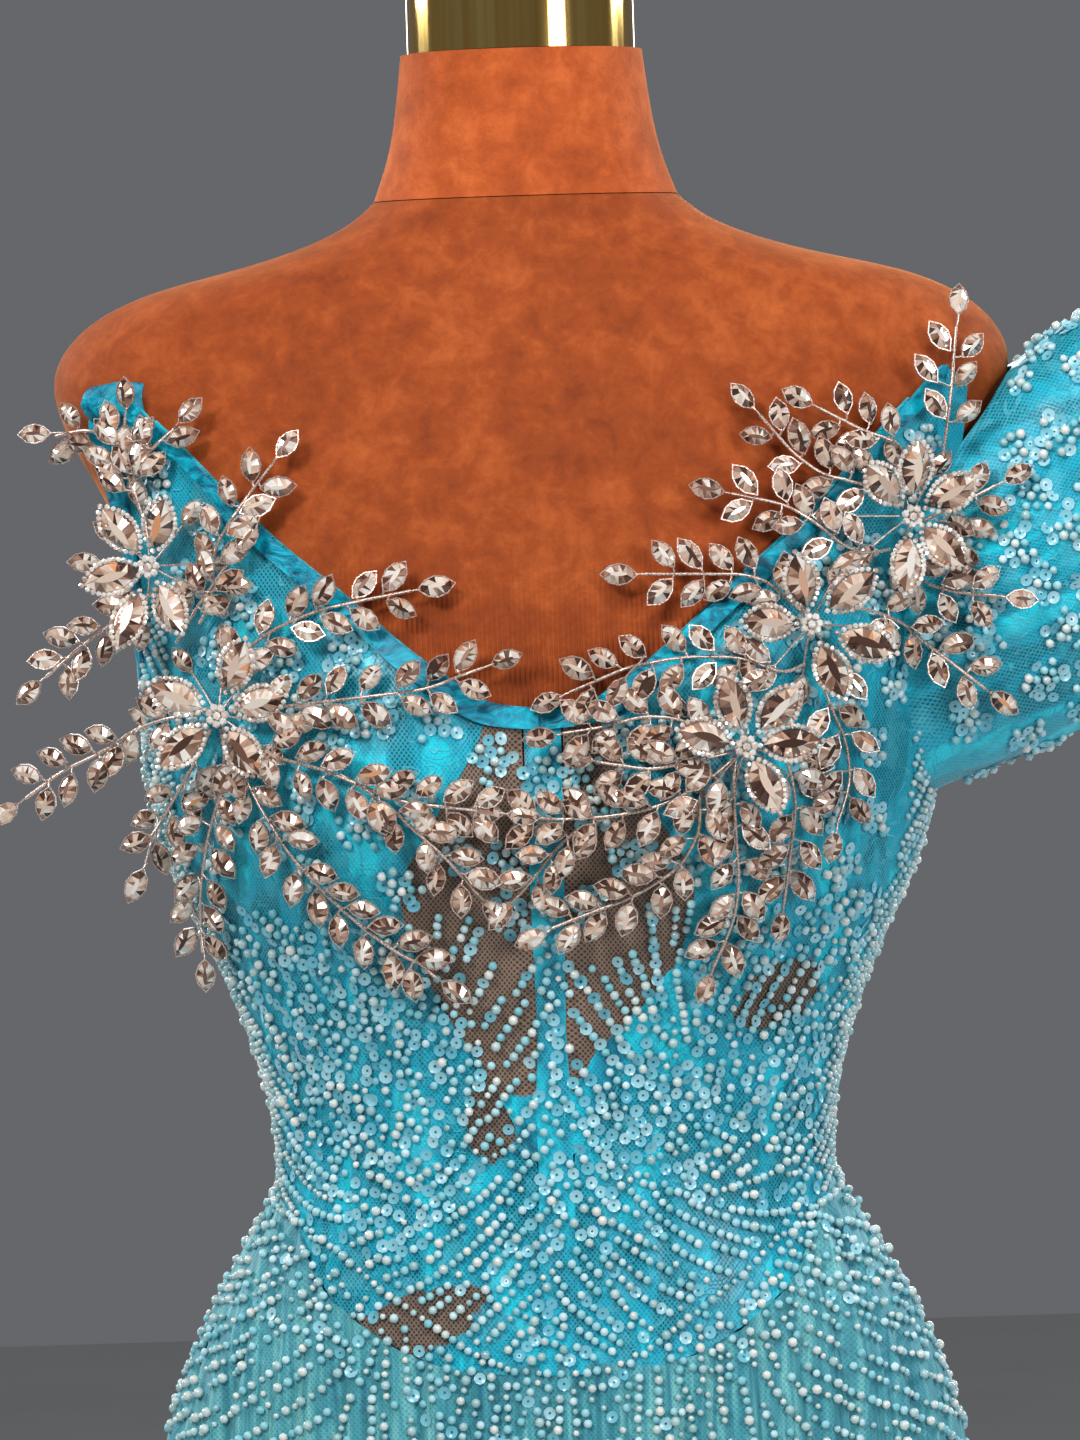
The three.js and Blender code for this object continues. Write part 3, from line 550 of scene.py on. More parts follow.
# The centre strip lies over its neighbours, and is drawn in between the net windows.
STRIP_LAP = 0.35 * MM
STRIP_DRAWN_IN = {"from": 1.085, "to": 1.115, "share": 0.26}


def strip_push(points, angles):
    rise = STRIP_DRAWN_IN["to"] - STRIP_DRAWN_IN["from"]
    drawn = np.clip((points[:, 2] - STRIP_DRAWN_IN["from"]) / rise, 0, 1)
    points[:, 0] *= 1 - STRIP_DRAWN_IN["share"] * drawn
    return bodice_push(points, angles) + STRIP_LAP


# The net windows run on down under the satin, past the seam at their pointed ends.
INSET_TUCK = {"height": 1.1, "stretch": 0.75, "inward": 0.35 * MM}
INSET_LAP = {"edge": 7.5 * MM, "reach": 5 * MM, "under": 3 * MM}


def inset_push(points, angles):
    below = np.clip(INSET_TUCK["height"] - points[:, 2], 0, None)
    points[:, 2] -= below * INSET_TUCK["stretch"]
    from_edge = (np.abs(points[:, 0]) - INSET_LAP["edge"]) / INSET_LAP["reach"]
    points[:, 0] -= np.sign(points[:, 0]) * INSET_LAP["under"] * np.clip(1 - from_edge, 0, 1)
    return bodice_push(points, angles) - np.clip(below / 0.02, 0, 1) * INSET_TUCK["inward"]


NET_PITCH = 2.0 * MM


def net(finish, place):
    """One in the holes of a diamond net and nought on its threads."""
    u = finish.part(place, 0)
    v = finish.part(place, 1) * 0.8
    rising = ((u + v) * (math.pi / NET_PITCH)).sine()
    falling = ((u - v) * (math.pi / NET_PITCH)).sine()
    return finish.span((rising * rising) * (falling * falling), 0.12, 0.5)


def lace_scrolls(finish, place, size):
    """Curling corded lines of a common scroll lace, as the level lines of a slow noise."""
    wave = (finish.noise(place, 1 / size, 2, 0.45, 0.9) * 44).sine()
    return finish.span(wave * wave, 0.0, 0.14, 1, 0)


def satin_folds_and_painted_sheen(finish, place):
    """Long soft streaks on tight satin: the relief of its folds, and its painted highlights and shade."""
    return finish.noise(finish.stretched(place, 1, 0.3, 1), 62, 3, 0.5, 0.7)


# The satin's deep tone is painted shade in its folds and between the beads. Its bright tone is a painted
# highlight on the folds. The middle tone is its own colour.
SATIN_PAINTED_SHADE = tint(0, 96, 122)
SATIN_MID = tint(0, 152, 184)
SATIN_PAINTED_HIGHLIGHT = tint(14, 218, 242)
NET_THREAD = tint(52, 192, 214)
LACE_PALE = tint(92, 196, 214)
# The windows' hole colour is painted shade: the form behind the net, darkened. The thread colour is the
# net's own brown.
BROWN_HOLE_PAINTED_SHADE = tint(62, 46, 40)
BROWN_THREAD = tint(122, 104, 92)

# Three smaller bare windows, torn into the beading as long slanting patches: middle (x, height),
# half sizes and slope, in metres and radians.
WINDOWS = [
    {"x": -0.068, "height": 0.991, "long": 0.042, "tall": 0.014, "slope": 0.42},
    {"x": -0.025, "height": 1.084, "long": 0.026, "tall": 0.011, "slope": 1.42},
    {"x": 0.096, "height": 1.127, "long": 0.021, "tall": 0.013, "slope": 0.55},
]

lace = Finish("lace_over_satin", Specular_IOR_Level=0.35)
lace_place = lace.cloth_place()
lace_folds_and_painted_sheen = satin_folds_and_painted_sheen(lace, lace_place)
# Painted light: the satin under the net runs from painted shade to painted highlight along its streaks.
lace_satin_painted_light = lace.ramp(
    lace_folds_and_painted_sheen, (0.42, SATIN_PAINTED_SHADE), (0.5, SATIN_MID), (0.56, SATIN_MID), (0.62, SATIN_PAINTED_HIGHLIGHT))
lace_holes = net(lace, lace_place)
lace_net = lace.mix(lace_holes * 0.55 + 0.45, NET_THREAD, lace_satin_painted_light)
motif_fill = lace.span(lace.noise(lace_place, 62, 2, 0.5), 0.53, 0.6)
lace_cover = lace_scrolls(lace, lace_place, 26 * MM).or_more(motif_fill * 0.55)
lace_dressed = lace.mix(lace_cover * 0.42, lace_net, LACE_PALE)
lace_spot = lace.place()
ragged = (lace.noise(lace_spot, 120, 2) - 0.5) * 1.1
window_mask = 0
for window in WINDOWS:
    x = lace.part(lace_spot, 0) - window["x"]
    z = lace.part(lace_spot, 2) - window["height"]
    run = x * math.cos(window["slope"]) + z * math.sin(window["slope"])
    rise = z * math.cos(window["slope"]) - x * math.sin(window["slope"])
    run = run * (1 / window["long"])
    rise = rise * (1 / window["tall"])
    window_mask = window_mask + lace.span(run * run + rise * rise + ragged, 0.8, 1.0, 1, 0)
window_mask = window_mask * lace.span(lace.part(lace_spot, 1), -0.02, 0, 1, 0)
# In the bare windows the net's holes are painted shade, and its threads keep their own brown.
brown = lace.mix(lace_holes, BROWN_THREAD, BROWN_HOLE_PAINTED_SHADE)
lace.feed("Base Color", lace.mix(window_mask, lace_dressed, brown))
lace.feed("Roughness", lace.span(window_mask + lace_cover, 0, 1, 0.3, 0.62))
lace.bump(lace_cover * 1.0 - lace_holes * 0.5 + lace_folds_and_painted_sheen * 1.6, 0.35 * MM)

# The satin laps over the outer edge of the net window on one side: where, and how it slants.
SATIN_OVER_WINDOW = {"x": 0.018, "height": 1.105, "slope": 0.9, "fade": 1.5 * MM}
WINDOW_FOOT = (1.088, 1.09)
nude = Finish("brown_net", Roughness=0.62)
nude_place = nude.cloth_place()
nude_holes = net(nude, nude_place)
nude_cloud = nude.noise(nude_place, 30, 3)
# The brown net's hole colour is painted shade, standing for the form seen through it in shade. The thread
# colour is the net's own.
nude_hole_painted_shade = nude.ramp(nude_cloud, (0.35, tint(66, 46, 38)), (0.65, tint(90, 62, 50)))
nude_thread = nude.ramp(nude_cloud, (0.35, tint(122, 102, 88)), (0.65, tint(146, 124, 108)))
nude_spot = nude.place()
nude_height = nude.part(nude_spot, 2)
nude_ragged = (nude.noise(nude_spot, 90, 2) - 0.5) * (16 * MM)
nude_slant = (nude_height - SATIN_OVER_WINDOW["height"]) * SATIN_OVER_WINDOW["slope"]
nude_over = nude.part(nude_spot, 0) - nude_slant + nude_ragged
nude_edge = SATIN_OVER_WINDOW["x"]
nude_covered = nude.span(nude_over, nude_edge, nude_edge + SATIN_OVER_WINDOW["fade"])
nude_low = nude.span(nude_height + nude_ragged * 0.4, *WINDOW_FOOT, 1, 0)
# Where the satin laps over the window, it carries the same painted shade and painted highlight along its
# streaks.
nude_folds_and_painted_sheen = satin_folds_and_painted_sheen(nude, nude_place)
nude_satin_painted_light = nude.ramp(nude_folds_and_painted_sheen, (0.3, SATIN_PAINTED_SHADE), (0.45, SATIN_MID), (0.62, SATIN_PAINTED_HIGHLIGHT))
nude_net = nude.mix(nude_holes, nude_thread, nude_hole_painted_shade)
nude.feed("Base Color", nude.mix(nude_covered.or_more(nude_low), nude_net, nude_satin_painted_light))
nude.bump(nude_holes * -1, 0.3 * MM)

satin = Finish("centre_satin", Roughness=0.3, Specular_IOR_Level=0.6)
satin_place = satin.cloth_place()
# The centre strip's satin runs from painted shade to painted highlight along long streaks. The same streaks
# also raise it in relief.
satin_wave_and_painted_sheen = satin.noise(satin.stretched(satin_place, 1, 0.3, 1), 90, 3, 0.5, 0.5)
satin_holes = net(satin, satin_place)
satin_base_painted_light = satin.ramp(satin_wave_and_painted_sheen, (0.35, SATIN_PAINTED_SHADE), (0.5, SATIN_MID), (0.66, SATIN_PAINTED_HIGHLIGHT))
satin.feed("Base Color", satin.mix(satin_holes * 0.5 + 0.5, NET_THREAD, satin_base_painted_light))
satin.bump(satin_wave_and_painted_sheen * 1.2 - satin_holes * 0.4, 0.3 * MM)

TULLE_DEEP = tint(22, 112, 134)
TULLE_MID = tint(64, 156, 170)
TULLE_PALE = tint(126, 204, 206)

tulle = Finish("gathered_tulle", Roughness=0.55, Sheen_Weight=0.15)
tulle_place = tulle.cloth_place()
tulle_streaks = tulle.noise(tulle.stretched(tulle_place, 1, 0.06, 1), 240, 3, 0.6, 0.2)
tulle_cloud = tulle.noise(tulle.stretched(tulle_place, 1, 0.5, 1), 24, 2)
tulle_tone = tulle_streaks * 0.65 + tulle_cloud * 0.35
tulle_base = tulle.ramp(tulle_tone, (0.36, TULLE_DEEP), (0.5, TULLE_MID), (0.64, TULLE_PALE))
tulle_holes = net(tulle, tulle_place)
tulle.feed("Base Color", tulle.mix(tulle_holes * 0.35, tulle_base, TULLE_DEEP))
tulle.bump(tulle_streaks * 1.6 - tulle_holes * 0.3, 0.5 * MM)

# Each bodice panel: the angle of its middle, its cut's greatest width and length, its flat
# area, its finish and slot, and how it is folded.
BODICE_PANELS = {
    "centre_front_strip": (0, (0.017, 0.281), 0.0046, satin, "lace", strip_push),
    "lower_front": (21, (0.115, 0.210), 0.0132, lace, "lace", bodice_push),
    "mesh_inset": (11, (0.066, 0.192), 0.0070, nude, "nude_mesh", inset_push),
    "cup": (30, (0.165, 0.246), 0.0146, lace, "lace", bodice_push),
    "side_front": (68, (0.140, 0.385), 0.0285, lace, "lace", bodice_push),
    "side_back": (114, (0.130, 0.223), 0.0208, lace, "lace", bodice_push),
    "centre_back": (159, (0.130, 0.219), 0.0236, lace, "lace", bodice_push),
}
GORE_CUTS = {
    "front_gore": (0, (0.270, 0.503), 0.130),
    "side_gore_left": (-75, (0.215, 0.547), 0.101),
    "side_gore_right": (75, (0.215, 0.547), 0.101),
    "back_gore_left": (-145, (0.240, 0.550), 0.118),
    "back_gore_right": (145, (0.240, 0.550), 0.118),
}
FLARE_TURN = 45

gown = []
for name in BODICE:
    kind = name.replace("_left", "").replace("_right", "")
    middle, cut, area, finish, slot, push = BODICE_PANELS[kind]
    piece = make_cloth(name, 2, push, -middle if name.endswith("left") else middle)
    gown.append(finish_piece(piece, finish, slot, name))
for name in GORES:
    middle, cut, area = GORE_CUTS[name]
    piece = make_cloth(name, 2 if name.startswith("back") else 3, gathered, middle)
    gown.append(finish_piece(piece, tulle, "skirt_tulle", name))
for k, name in enumerate(FLARES):
    piece = make_cloth(name, 2, flared, (k - 3.5) * FLARE_TURN)
    gown.append(finish_piece(piece, tulle, "skirt_tulle", name))

gown_radii = radius_map(tree_of(gown))


# ------------------------------------------------------------------ the sleeve
# One wide tube of the same beaded net over satin, set in over the armhole and held out as if
# on a raised arm. A narrow turned satin cuff closes its end.
SLEEVE_START = Vector((186, 4, 1299)) * MM
SLEEVE_SLOPE = math.radians(22)
SLEEVE_DROOP = math.radians(50)
SLEEVE_STRAIGHT = 90 * MM
SLEEVE_LENGTH = 301 * MM
SLEEVE_GIRTH_RADIUS = 66 * MM


def sleeve_middle(along):
    """The sleeve's middle line: where it is, its direction, and the way to its top."""
    bent = max(0.0, float(along) - SLEEVE_STRAIGHT)
    turned = SLEEVE_DROOP * bent / (SLEEVE_LENGTH - SLEEVE_STRAIGHT)
    straight = Vector((math.cos(SLEEVE_SLOPE), 0, math.sin(SLEEVE_SLOPE)))
    place = SLEEVE_START + straight * float(along - bent)
    if bent > 0:
        radius = bent / turned
        place.x += radius * (math.sin(SLEEVE_SLOPE) - math.sin(SLEEVE_SLOPE - turned))
        place.z += radius * (math.cos(SLEEVE_SLOPE - turned) - math.cos(SLEEVE_SLOPE))
    up = Vector((-math.sin(SLEEVE_SLOPE - turned), 0, math.cos(SLEEVE_SLOPE - turned)))
    return place, Vector((up.z, 0, -up.x)), up


SLEEVE_STATIONS = np.arange(-60, 330, 5) * MM
STATION_LINES = [sleeve_middle(max(0.0, along)) for along in SLEEVE_STATIONS]


def along_sleeve(points):
    """Each point's distance along the sleeve and its turn from the top, through the front."""
    before = np.minimum(SLEEVE_STATIONS, 0)
    places = np.array([line[0] for line in STATION_LINES])
    aheads = np.array([line[1] for line in STATION_LINES])
    ups = np.array([line[2] for line in STATION_LINES])
    places = places + before[:, None] * aheads
    gaps = np.einsum("psk,sk->ps", points[:, None, :] - places[None], aheads)
    station = np.argmin(np.abs(gaps), axis=1)
    rows = np.arange(len(points))
    along = SLEEVE_STATIONS[station] + gaps[rows, station]
    up = np.einsum("pk,pk->p", points - places[station], ups[station])
    turn = np.arctan2(-(points[:, 1] - places[station][:, 1]), up)
    away = points - places[station]
    away -= np.einsum("pk,pk->p", away, aheads[station])[:, None] * aheads[station]
    return along, turn, away / np.linalg.norm(away, axis=1)[:, None]


# Soft folds across the sleeve: from and to (turn, along), half width and rise in mm. They die
# out near the sleeve's two ends.
SLEEVE_FOLD_FADE = 30 * MM
SLEEVE_FOLDS = [
    ((20, 40), (75, 80), 9, 2.2), ((60, 20), (128, 62), 10, 2.6), ((95, 70), (150, 110), 9, 2.0),
    ((15, 110), (66, 146), 10, 1.8), ((80, 128), (140, 170), 11, 2.2), ((-30, 60), (-85, 100), 10, 2.4),
    ((-70, 24), (-130, 66), 11, 2.6), ((-20, 150), (-80, 190), 11, 2.2), ((30, 190), (95, 232), 10, 2.2),
    ((-100, 140), (-150, 180), 10, 2.0), ((110, 215), (165, 250), 10, 2.0),
    ((-60, 220), (-120, 262), 11, 2.4), ((150, 60), (178, 140), 12, -1.8),
    ((0, 240), (45, 275), 9, 1.6), ((-150, 230), (-175, 276), 10, 1.8),
]


def sleeve_push(along, turn):
    flat = np.stack([turn * SLEEVE_GIRTH_RADIUS, along], axis=1)
    out = np.zeros(len(along))
    for (turn_a, along_a), (turn_b, along_b), half, rise in SLEEVE_FOLDS:
        start = np.array([math.radians(turn_a) * SLEEVE_GIRTH_RADIUS, along_a * MM])
        end = np.array([math.radians(turn_b) * SLEEVE_GIRTH_RADIUS, along_b * MM])
        out += fold_lift(flat, start, end, half, rise)
    from_root = np.clip(along / SLEEVE_FOLD_FADE, 0, 1)
    return out * from_root * np.clip((SLEEVE_LENGTH - along) / SLEEVE_FOLD_FADE, 0, 1)


sleeve = copy_of("sleeve", "sleeve_cloth")
smooth_out(sleeve, 2)
sleeve_points = points_of(sleeve)
sleeve_along, sleeve_turn, sleeve_away = along_sleeve(sleeve_points)

# The sleeve's root edge is drawn in under the bodice. Where it starts is found at each turn.
ROOT_TUCK = 5 * MM
ROOT_TUCK_REACH = 12 * MM
ROOT_STEP = 10
root_turns = np.arange(-180, 181, ROOT_STEP) + ROOT_STEP / 2
root_along = np.full(len(root_turns), np.inf)
root_bin = np.degrees(sleeve_turn) // ROOT_STEP + 180 // ROOT_STEP
root_bin = np.clip(root_bin, 0, len(root_turns) - 1).astype(int)
np.minimum.at(root_along, root_bin, sleeve_along)
known = np.isfinite(root_along)
root_here = np.interp(np.degrees(sleeve_turn), root_turns[known], root_along[known])
near_root = np.clip(1 - (sleeve_along - root_here) / ROOT_TUCK_REACH, 0, 1)
sleeve_ahead = np.array([math.cos(SLEEVE_SLOPE), 0, math.sin(SLEEVE_SLOPE)])
sleeve_points = sleeve_points - sleeve_ahead * (ROOT_TUCK * near_root[:, None])
move_points(sleeve, sleeve_points + sleeve_away * sleeve_push(sleeve_along, sleeve_turn)[:, None])
lay_cloth_map(sleeve, np.stack([sleeve_turn * SLEEVE_GIRTH_RADIUS, sleeve_along], axis=1))
finish_piece(sleeve, lace, "lace", "sleeve")


# ------------------------------------------------------------------ the bound edges
# Bias strips of teal satin are turned over the raw top edges and stitched down. A short tail
# of the strip is gathered and knotted on the shoulder that has no sleeve.
bound = Finish("binding_satin", Specular_IOR_Level=0.28)
bound_place = bound.place()
bound_folds_and_painted_sheen = bound.noise(bound.stretched(bound_place, 1, 1, 1.6), 85, 3, 0.6, 1.2)
# The binding's dark and pale tones are painted shade and painted highlight along its folds. Its middle tone
# is its own teal. The same streaks set its roughness and relief.
bound.feed("Base Color", bound.ramp(
    bound_folds_and_painted_sheen, (0.34, tint(0, 88, 112)), (0.5, tint(0, 142, 172)), (0.68, tint(0, 194, 222))))
bound_weave = bound.noise(bound_place, 1500, 2)
bound.feed("Roughness", bound.span(bound_folds_and_painted_sheen, 0.3, 0.7, 0.3, 0.46))
bound.bump(bound_folds_and_painted_sheen * 2.4 + bound_weave * 0.25, 0.5 * MM)

PUCKER = 0.5 * MM
PUCKER_SCALE = 70


def puckered(piece):
    """Pushes a piece's points outwards by uneven small amounts, as a stitched edge puckers."""
    points = points_of(piece)
    swell = np.array([noise.noise(Vector(point * PUCKER_SCALE)) for point in points])
    lift = PUCKER * np.clip(swell + 0.4, 0, 2)
    move_points(piece, points + level_outward(points) * lift[:, None])


# Each strip's showing width and its length, and the panels that it binds.
BINDING_CUTS = {
    "neckline_binding_left": ((0.0102, 0.229), ["cup_left", "side_front_left"]),
    "neckline_binding_right": ((0.0102, 0.229), ["cup_right", "side_front_right"]),
    "back_binding_left": ((0.0113, 0.360), ["side_back_left", "centre_back_left"]),
    "back_binding_right": ((0.0104, 0.160), ["side_back_right", "centre_back_right"]),
}
bindings = []
for name, (cut, bound_panels) in BINDING_CUTS.items():
    piece = copy_of(name, f"{name}_strip")
    smooth_out(piece, 3, sharp=60)
    puckered(piece)
    bindings.append(finish_piece(piece, bound, "binding_satin", name))

cuff = copy_of("sleeve_cuff", "sleeve_cuff_strip")
smooth_out(cuff, 3, sharp=60)
finish_piece(cuff, bound, "binding_satin", "sleeve_cuff")

# The knot's pleats fan out from below its foot. It is drawn narrower and lower than its solid,
# rounded off at its two sides, and sits a little in from the shoulder.
KNOT_PLEATS = 5
KNOT_PLEAT_DEPTH = 1.5 * MM
KNOT_WIDTH = 0.46
KNOT_HEIGHT = 0.7
KNOT_SHIFT = 5 * MM
KNOT_ROUNDING = 2.4 * MM
knot = copy_of("strap_knot", "strap_knot_gathers")
smooth_out(knot, 3, sharp=70)
knot_points = points_of(knot)
knot_foot = knot_points.mean(axis=0)
knot_foot[2] = knot_points[:, 2].min()
knot_away = knot_points - knot_foot
knot_tall = knot_away[:, 2].max()
knot_outward = np.array([knot_foot[0], knot_foot[1], 0])
knot_outward /= np.linalg.norm(knot_outward)
knot_side = np.cross(knot_outward, [0, 0, 1])
knot_across = knot_away @ knot_side
knot_up = knot_away[:, 2] / knot_tall
knot_front = np.clip((knot_away @ knot_outward) / (3 * MM), 0, 1)
knot_fan = np.arctan2(knot_across, knot_away[:, 2] + 0.5 * knot_tall)
knot_lift = knot_front * KNOT_PLEAT_DEPTH * np.sin(knot_fan * 2 * np.pi * KNOT_PLEATS + 0.6)
knot_narrow = KNOT_WIDTH * (1.05 - 0.35 * knot_up**2) + 0.04 * np.sin(knot_up * 9)
knot_moved = knot_points + (knot_across * (knot_narrow - 1))[:, None] * knot_side
knot_moved = knot_moved + knot_lift[:, None] * knot_outward
knot_aside = np.abs(knot_across)
knot_rounded = KNOT_ROUNDING * knot_up * knot_aside / knot_aside.max()
knot_moved[:, 2] -= knot_away[:, 2] * (1 - KNOT_HEIGHT) + knot_rounded
knot_moved[:, 0] += KNOT_SHIFT
move_points(knot, knot_moved)
finish_piece(knot, bound, "binding_satin", "strap_knot")


# ------------------------------------------------------------------ the zip
# A concealed zip in the centre back, with a woven tape, moulded teeth, a metal slider and a
# pull tab that hangs in the slider's loop.
tape = copy_of("zip_tape", "zip_tape_woven")
smooth_out(tape, 2, sharp=60)
tape_finish = Finish("zip_tape_weave", Roughness=0.7)
tape_place = tape_finish.place()
tape_rib = (tape_finish.part(tape_place, 2) * 4200).sine()
tape_cloud = tape_finish.noise(tape_place, 220, 3)
tape_colour = tape_finish.ramp(tape_cloud, (0.3, tint(18, 118, 138)), (0.7, tint(34, 142, 162)))
tape_finish.feed("Base Color", tape_colour)
tape_finish.bump(tape_rib * 0.5 + tape_cloud * 0.5, 0.15 * MM)
finish_piece(tape, tape_finish, "binding_satin", "zip_tape")

zip_metal = Finish("zip_metal", Metallic=1.0)
zip_grain = zip_metal.noise(zip_metal.place(), 700, 3)
zip_colour = zip_metal.ramp(zip_grain, (0.3, tint(176, 180, 182)), (0.7, tint(204, 208, 210)))
zip_metal.feed("Base Color", zip_colour)
zip_metal.feed("Roughness", zip_metal.span(zip_grain, 0.2, 0.8, 0.2, 0.34))
zip_metal.bump(zip_grain, 0.02 * MM)
for part in ("zip_slider", "zip_pull_tab"):
    cover(nodes[part], zip_metal)


def shape_arrays(piece):
    """A modelled pattern piece as its points and faces, after which it is thrown away.

    The mesh operators may number faces in any order, so they are put in order by place.
    """
    points = points_of(piece)
    keys = [tuple(key) for key in np.round(points, 4)]
    faces = []
    for polygon in piece.data.polygons:
        face = list(polygon.vertices)
        start = min(range(len(face)), key=lambda k: keys[face[k]])
        faces.append(face[start:] + face[:start])
    faces.sort(key=lambda face: [keys[corner] for corner in face])
    bpy.data.objects.remove(piece)
    return points, faces


def repeat(name, shape, places, turns, sizes, tones, smooth=True, face_spread=0.0, seed=1):
    """One mesh of many copies of a shape. A turn's rows are the copy's own three directions."""
    points, faces = shape
    count = len(places)
    sizes = np.broadcast_to(np.asarray(sizes).reshape(count, -1, 1), (count, 3, 1))
    turned = np.einsum("pk,nkj->npj", points, turns * sizes)
    corners = (turned + places[:, None, :]).reshape(-1, 3)
    loop = np.concatenate(faces)
    sizes_of_faces = np.array([len(face) for face in faces])
    starts = np.concatenate([[0], np.cumsum(sizes_of_faces)[:-1]])
    mesh = bpy.data.meshes.new(name)
    mesh.vertices.add(len(corners))
    mesh.vertices.foreach_set("co", corners.astype(np.float32).ravel())
    mesh.loops.add(count * len(loop))
    mesh.loops.foreach_set("vertex_index", (loop[None] + np.arange(count)[:, None] * len(points)).ravel())
    mesh.polygons.add(count * len(faces))
    mesh.polygons.foreach_set("loop_start", (starts[None] + np.arange(count)[:, None] * len(loop)).ravel())
    mesh.polygons.foreach_set("use_smooth", np.full(count * len(faces), smooth))
    mesh.update(calc_edges=True)
    draws = np.random.default_rng(seed).uniform(-1, 1, (count, len(faces))) * face_spread
    tone = mesh.attributes.new("tone", "FLOAT", "FACE")
    shades = np.clip(np.asarray(tones)[:, None] + draws, 0, 1)
    tone.data.foreach_set("value", shades.astype(np.float32).ravel())
    piece = bpy.data.objects.new(name, mesh)
    bpy.context.collection.objects.link(piece)
    return piece


TOOTH_PITCH = 1.9 * MM
TOOTH_RANGE = (0.882, 1.232)
TOOTH_SIZE = (2.2 * MM, 0.9 * MM, 0.9 * MM)
TOOTH_BEVEL = 0.2 * MM
TOOTH_SIDE = 0.55 * MM
TOOTH_LIFT = 0.25 * MM
bpy.ops.mesh.primitive_cube_add(size=1)
tooth = bpy.context.object
tooth.scale = TOOTH_SIZE
bpy.ops.object.transform_apply(scale=True)
bpy.ops.object.mode_set(mode="EDIT")
bpy.ops.mesh.select_all(action="SELECT")
bpy.ops.mesh.bevel(offset=TOOTH_BEVEL, segments=1)
bpy.ops.object.mode_set(mode="OBJECT")
tooth_shape = shape_arrays(tooth)
tape_tree = tree_of([tape])
tooth_places = []
for k, height in enumerate(np.arange(*TOOTH_RANGE, TOOTH_PITCH / 2)):
    spot = Vector((TOOTH_SIDE if k % 2 else -TOOTH_SIDE, 0.5, height))
    hit = tape_tree.ray_cast(spot, Vector((0, -1, 0)))[0]
    if hit is not None:
        tooth_places.append(np.array(hit) + np.array([0, TOOTH_LIFT, 0]))
tooth_count = len(tooth_places)
teeth = repeat(
    "zip_teeth", tooth_shape, np.array(tooth_places), np.tile(np.eye(3), (tooth_count, 1, 1)),
    np.ones(tooth_count), np.full(tooth_count, 0.5), smooth=False,
)
finish_piece(teeth, tape_finish, "binding_satin")


# ------------------------------------------------------------------ the beading
# Pearls, frosted beads and flat sequins are sewn on by hand in strings. The strings fan down
# from the middle of the front and wrap the hips; the upper bodice and sleeve carry clusters.
def crossed(a, b):
    return np.array([a[1] * b[2] - a[2] * b[1], a[2] * b[0] - a[0] * b[2], a[0] * b[1] - a[1] * b[0]])


class Ground:
    """Cloth that beads are laid on, read by two coordinates: an angle and a length."""

    def __init__(self, columns, rows, places):
        self.first = (columns[0], rows[0])
        self.step = (columns[1] - columns[0], rows[1] - rows[0])
        self.last = (len(columns) - 1.001, len(rows) - 1.001)
        across = np.gradient(places, axis=1) / self.step[0]
        along = np.gradient(places, axis=0) / self.step[1]
        self.table = np.concatenate([places, across, along], axis=2)

    def at(self, u, v):
        """The place, its two directions for one unit each, and the way out of the cloth."""
        column = min(max((u - self.first[0]) / self.step[0], 0), self.last[0])
        row = min(max((v - self.first[1]) / self.step[1], 0), self.last[1])
        j, i = int(column), int(row)
        s, t = column - j, row - i
        table = self.table
        low = table[i, j] * (1 - s) + table[i, j + 1] * s
        high = table[i + 1, j] * (1 - s) + table[i + 1, j + 1] * s
        read = low * (1 - t) + high * t
        out = crossed(read[3:6], read[6:9])
        size = math.sqrt(out @ out)
        return read[0:3], read[3:6], read[6:9], out / size if size > 0 else out * np.nan


class Crowd:
    """The beads laid so far, in boxes, so that a new one keeps its distance."""

    BOX = 7 * MM

    def __init__(self):
        self.boxes = {}
        self.rows = 0

    def new_row(self):
        self.rows += 1
        return self.rows

    def box(self, place):
        return tuple(int(part // self.BOX) for part in place)

    def free(self, place, reach, row):
        """Whether no bead of another row is within reach."""
        x, y, z = self.box(place)
        for i in (x - 1, x, x + 1):
            for j in (y - 1, y, y + 1):
                for k in (z - 1, z, z + 1):
                    for other, other_row in self.boxes.get((i, j, k), ()):
                        away = other - place
                        if other_row != row and away @ away < reach * reach:
                            return False
        return True

    def add(self, place, row):
        self.boxes.setdefault(self.box(place), []).append((place, row))


beads = {kind: [] for kind in ("pearl", "fine", "frost", "sequin")}
DIAMETER = {"pearl": 4.3 * MM, "fine": 3.0 * MM, "frost": 3.6 * MM, "sequin": 5.6 * MM}
# How far out each bead's middle sits, as a share of its size.
SEAT = {"pearl": 0.42, "fine": 0.42, "frost": 0.36, "sequin": 0.2}
# The orders in which beads are strung, by the kind of string.
STRINGS = {
    "mixed": [
        ("frost", "frost", "pearl"), ("frost", "pearl", "sequin"), ("frost",), ("frost", "sequin"),
        ("pearl", "frost", "fine"),
    ],
    "fine": [("fine",), ("fine", "fine", "frost"), ("fine", "fine", "fine", "pearl")],
    "hip": [("pearl", "frost", "frost"), ("fine", "frost", "pearl"), ("frost", "fine"), ("fine", "pearl")],
    "far": [("pearl", "fine"), ("frost", "pearl"), ("fine",)],
    "window": [
        ("sequin", "frost"), ("frost", "pearl", "sequin"), ("frost", "frost", "pearl"),
        ("sequin", "pearl"),
    ],
    "loose": [("sequin",), ("sequin", "frost"), ("pearl",), ("frost",), ("sequin", "pearl")],
    "filler": [("frost",), ("sequin",), ("fine",), ("frost",)],
}
# How far each bead may lean on its thread; a pearl's lean wouldn't show.
TILT = {"pearl": 0, "fine": 0.5, "frost": 0.5, "sequin": 0.35}


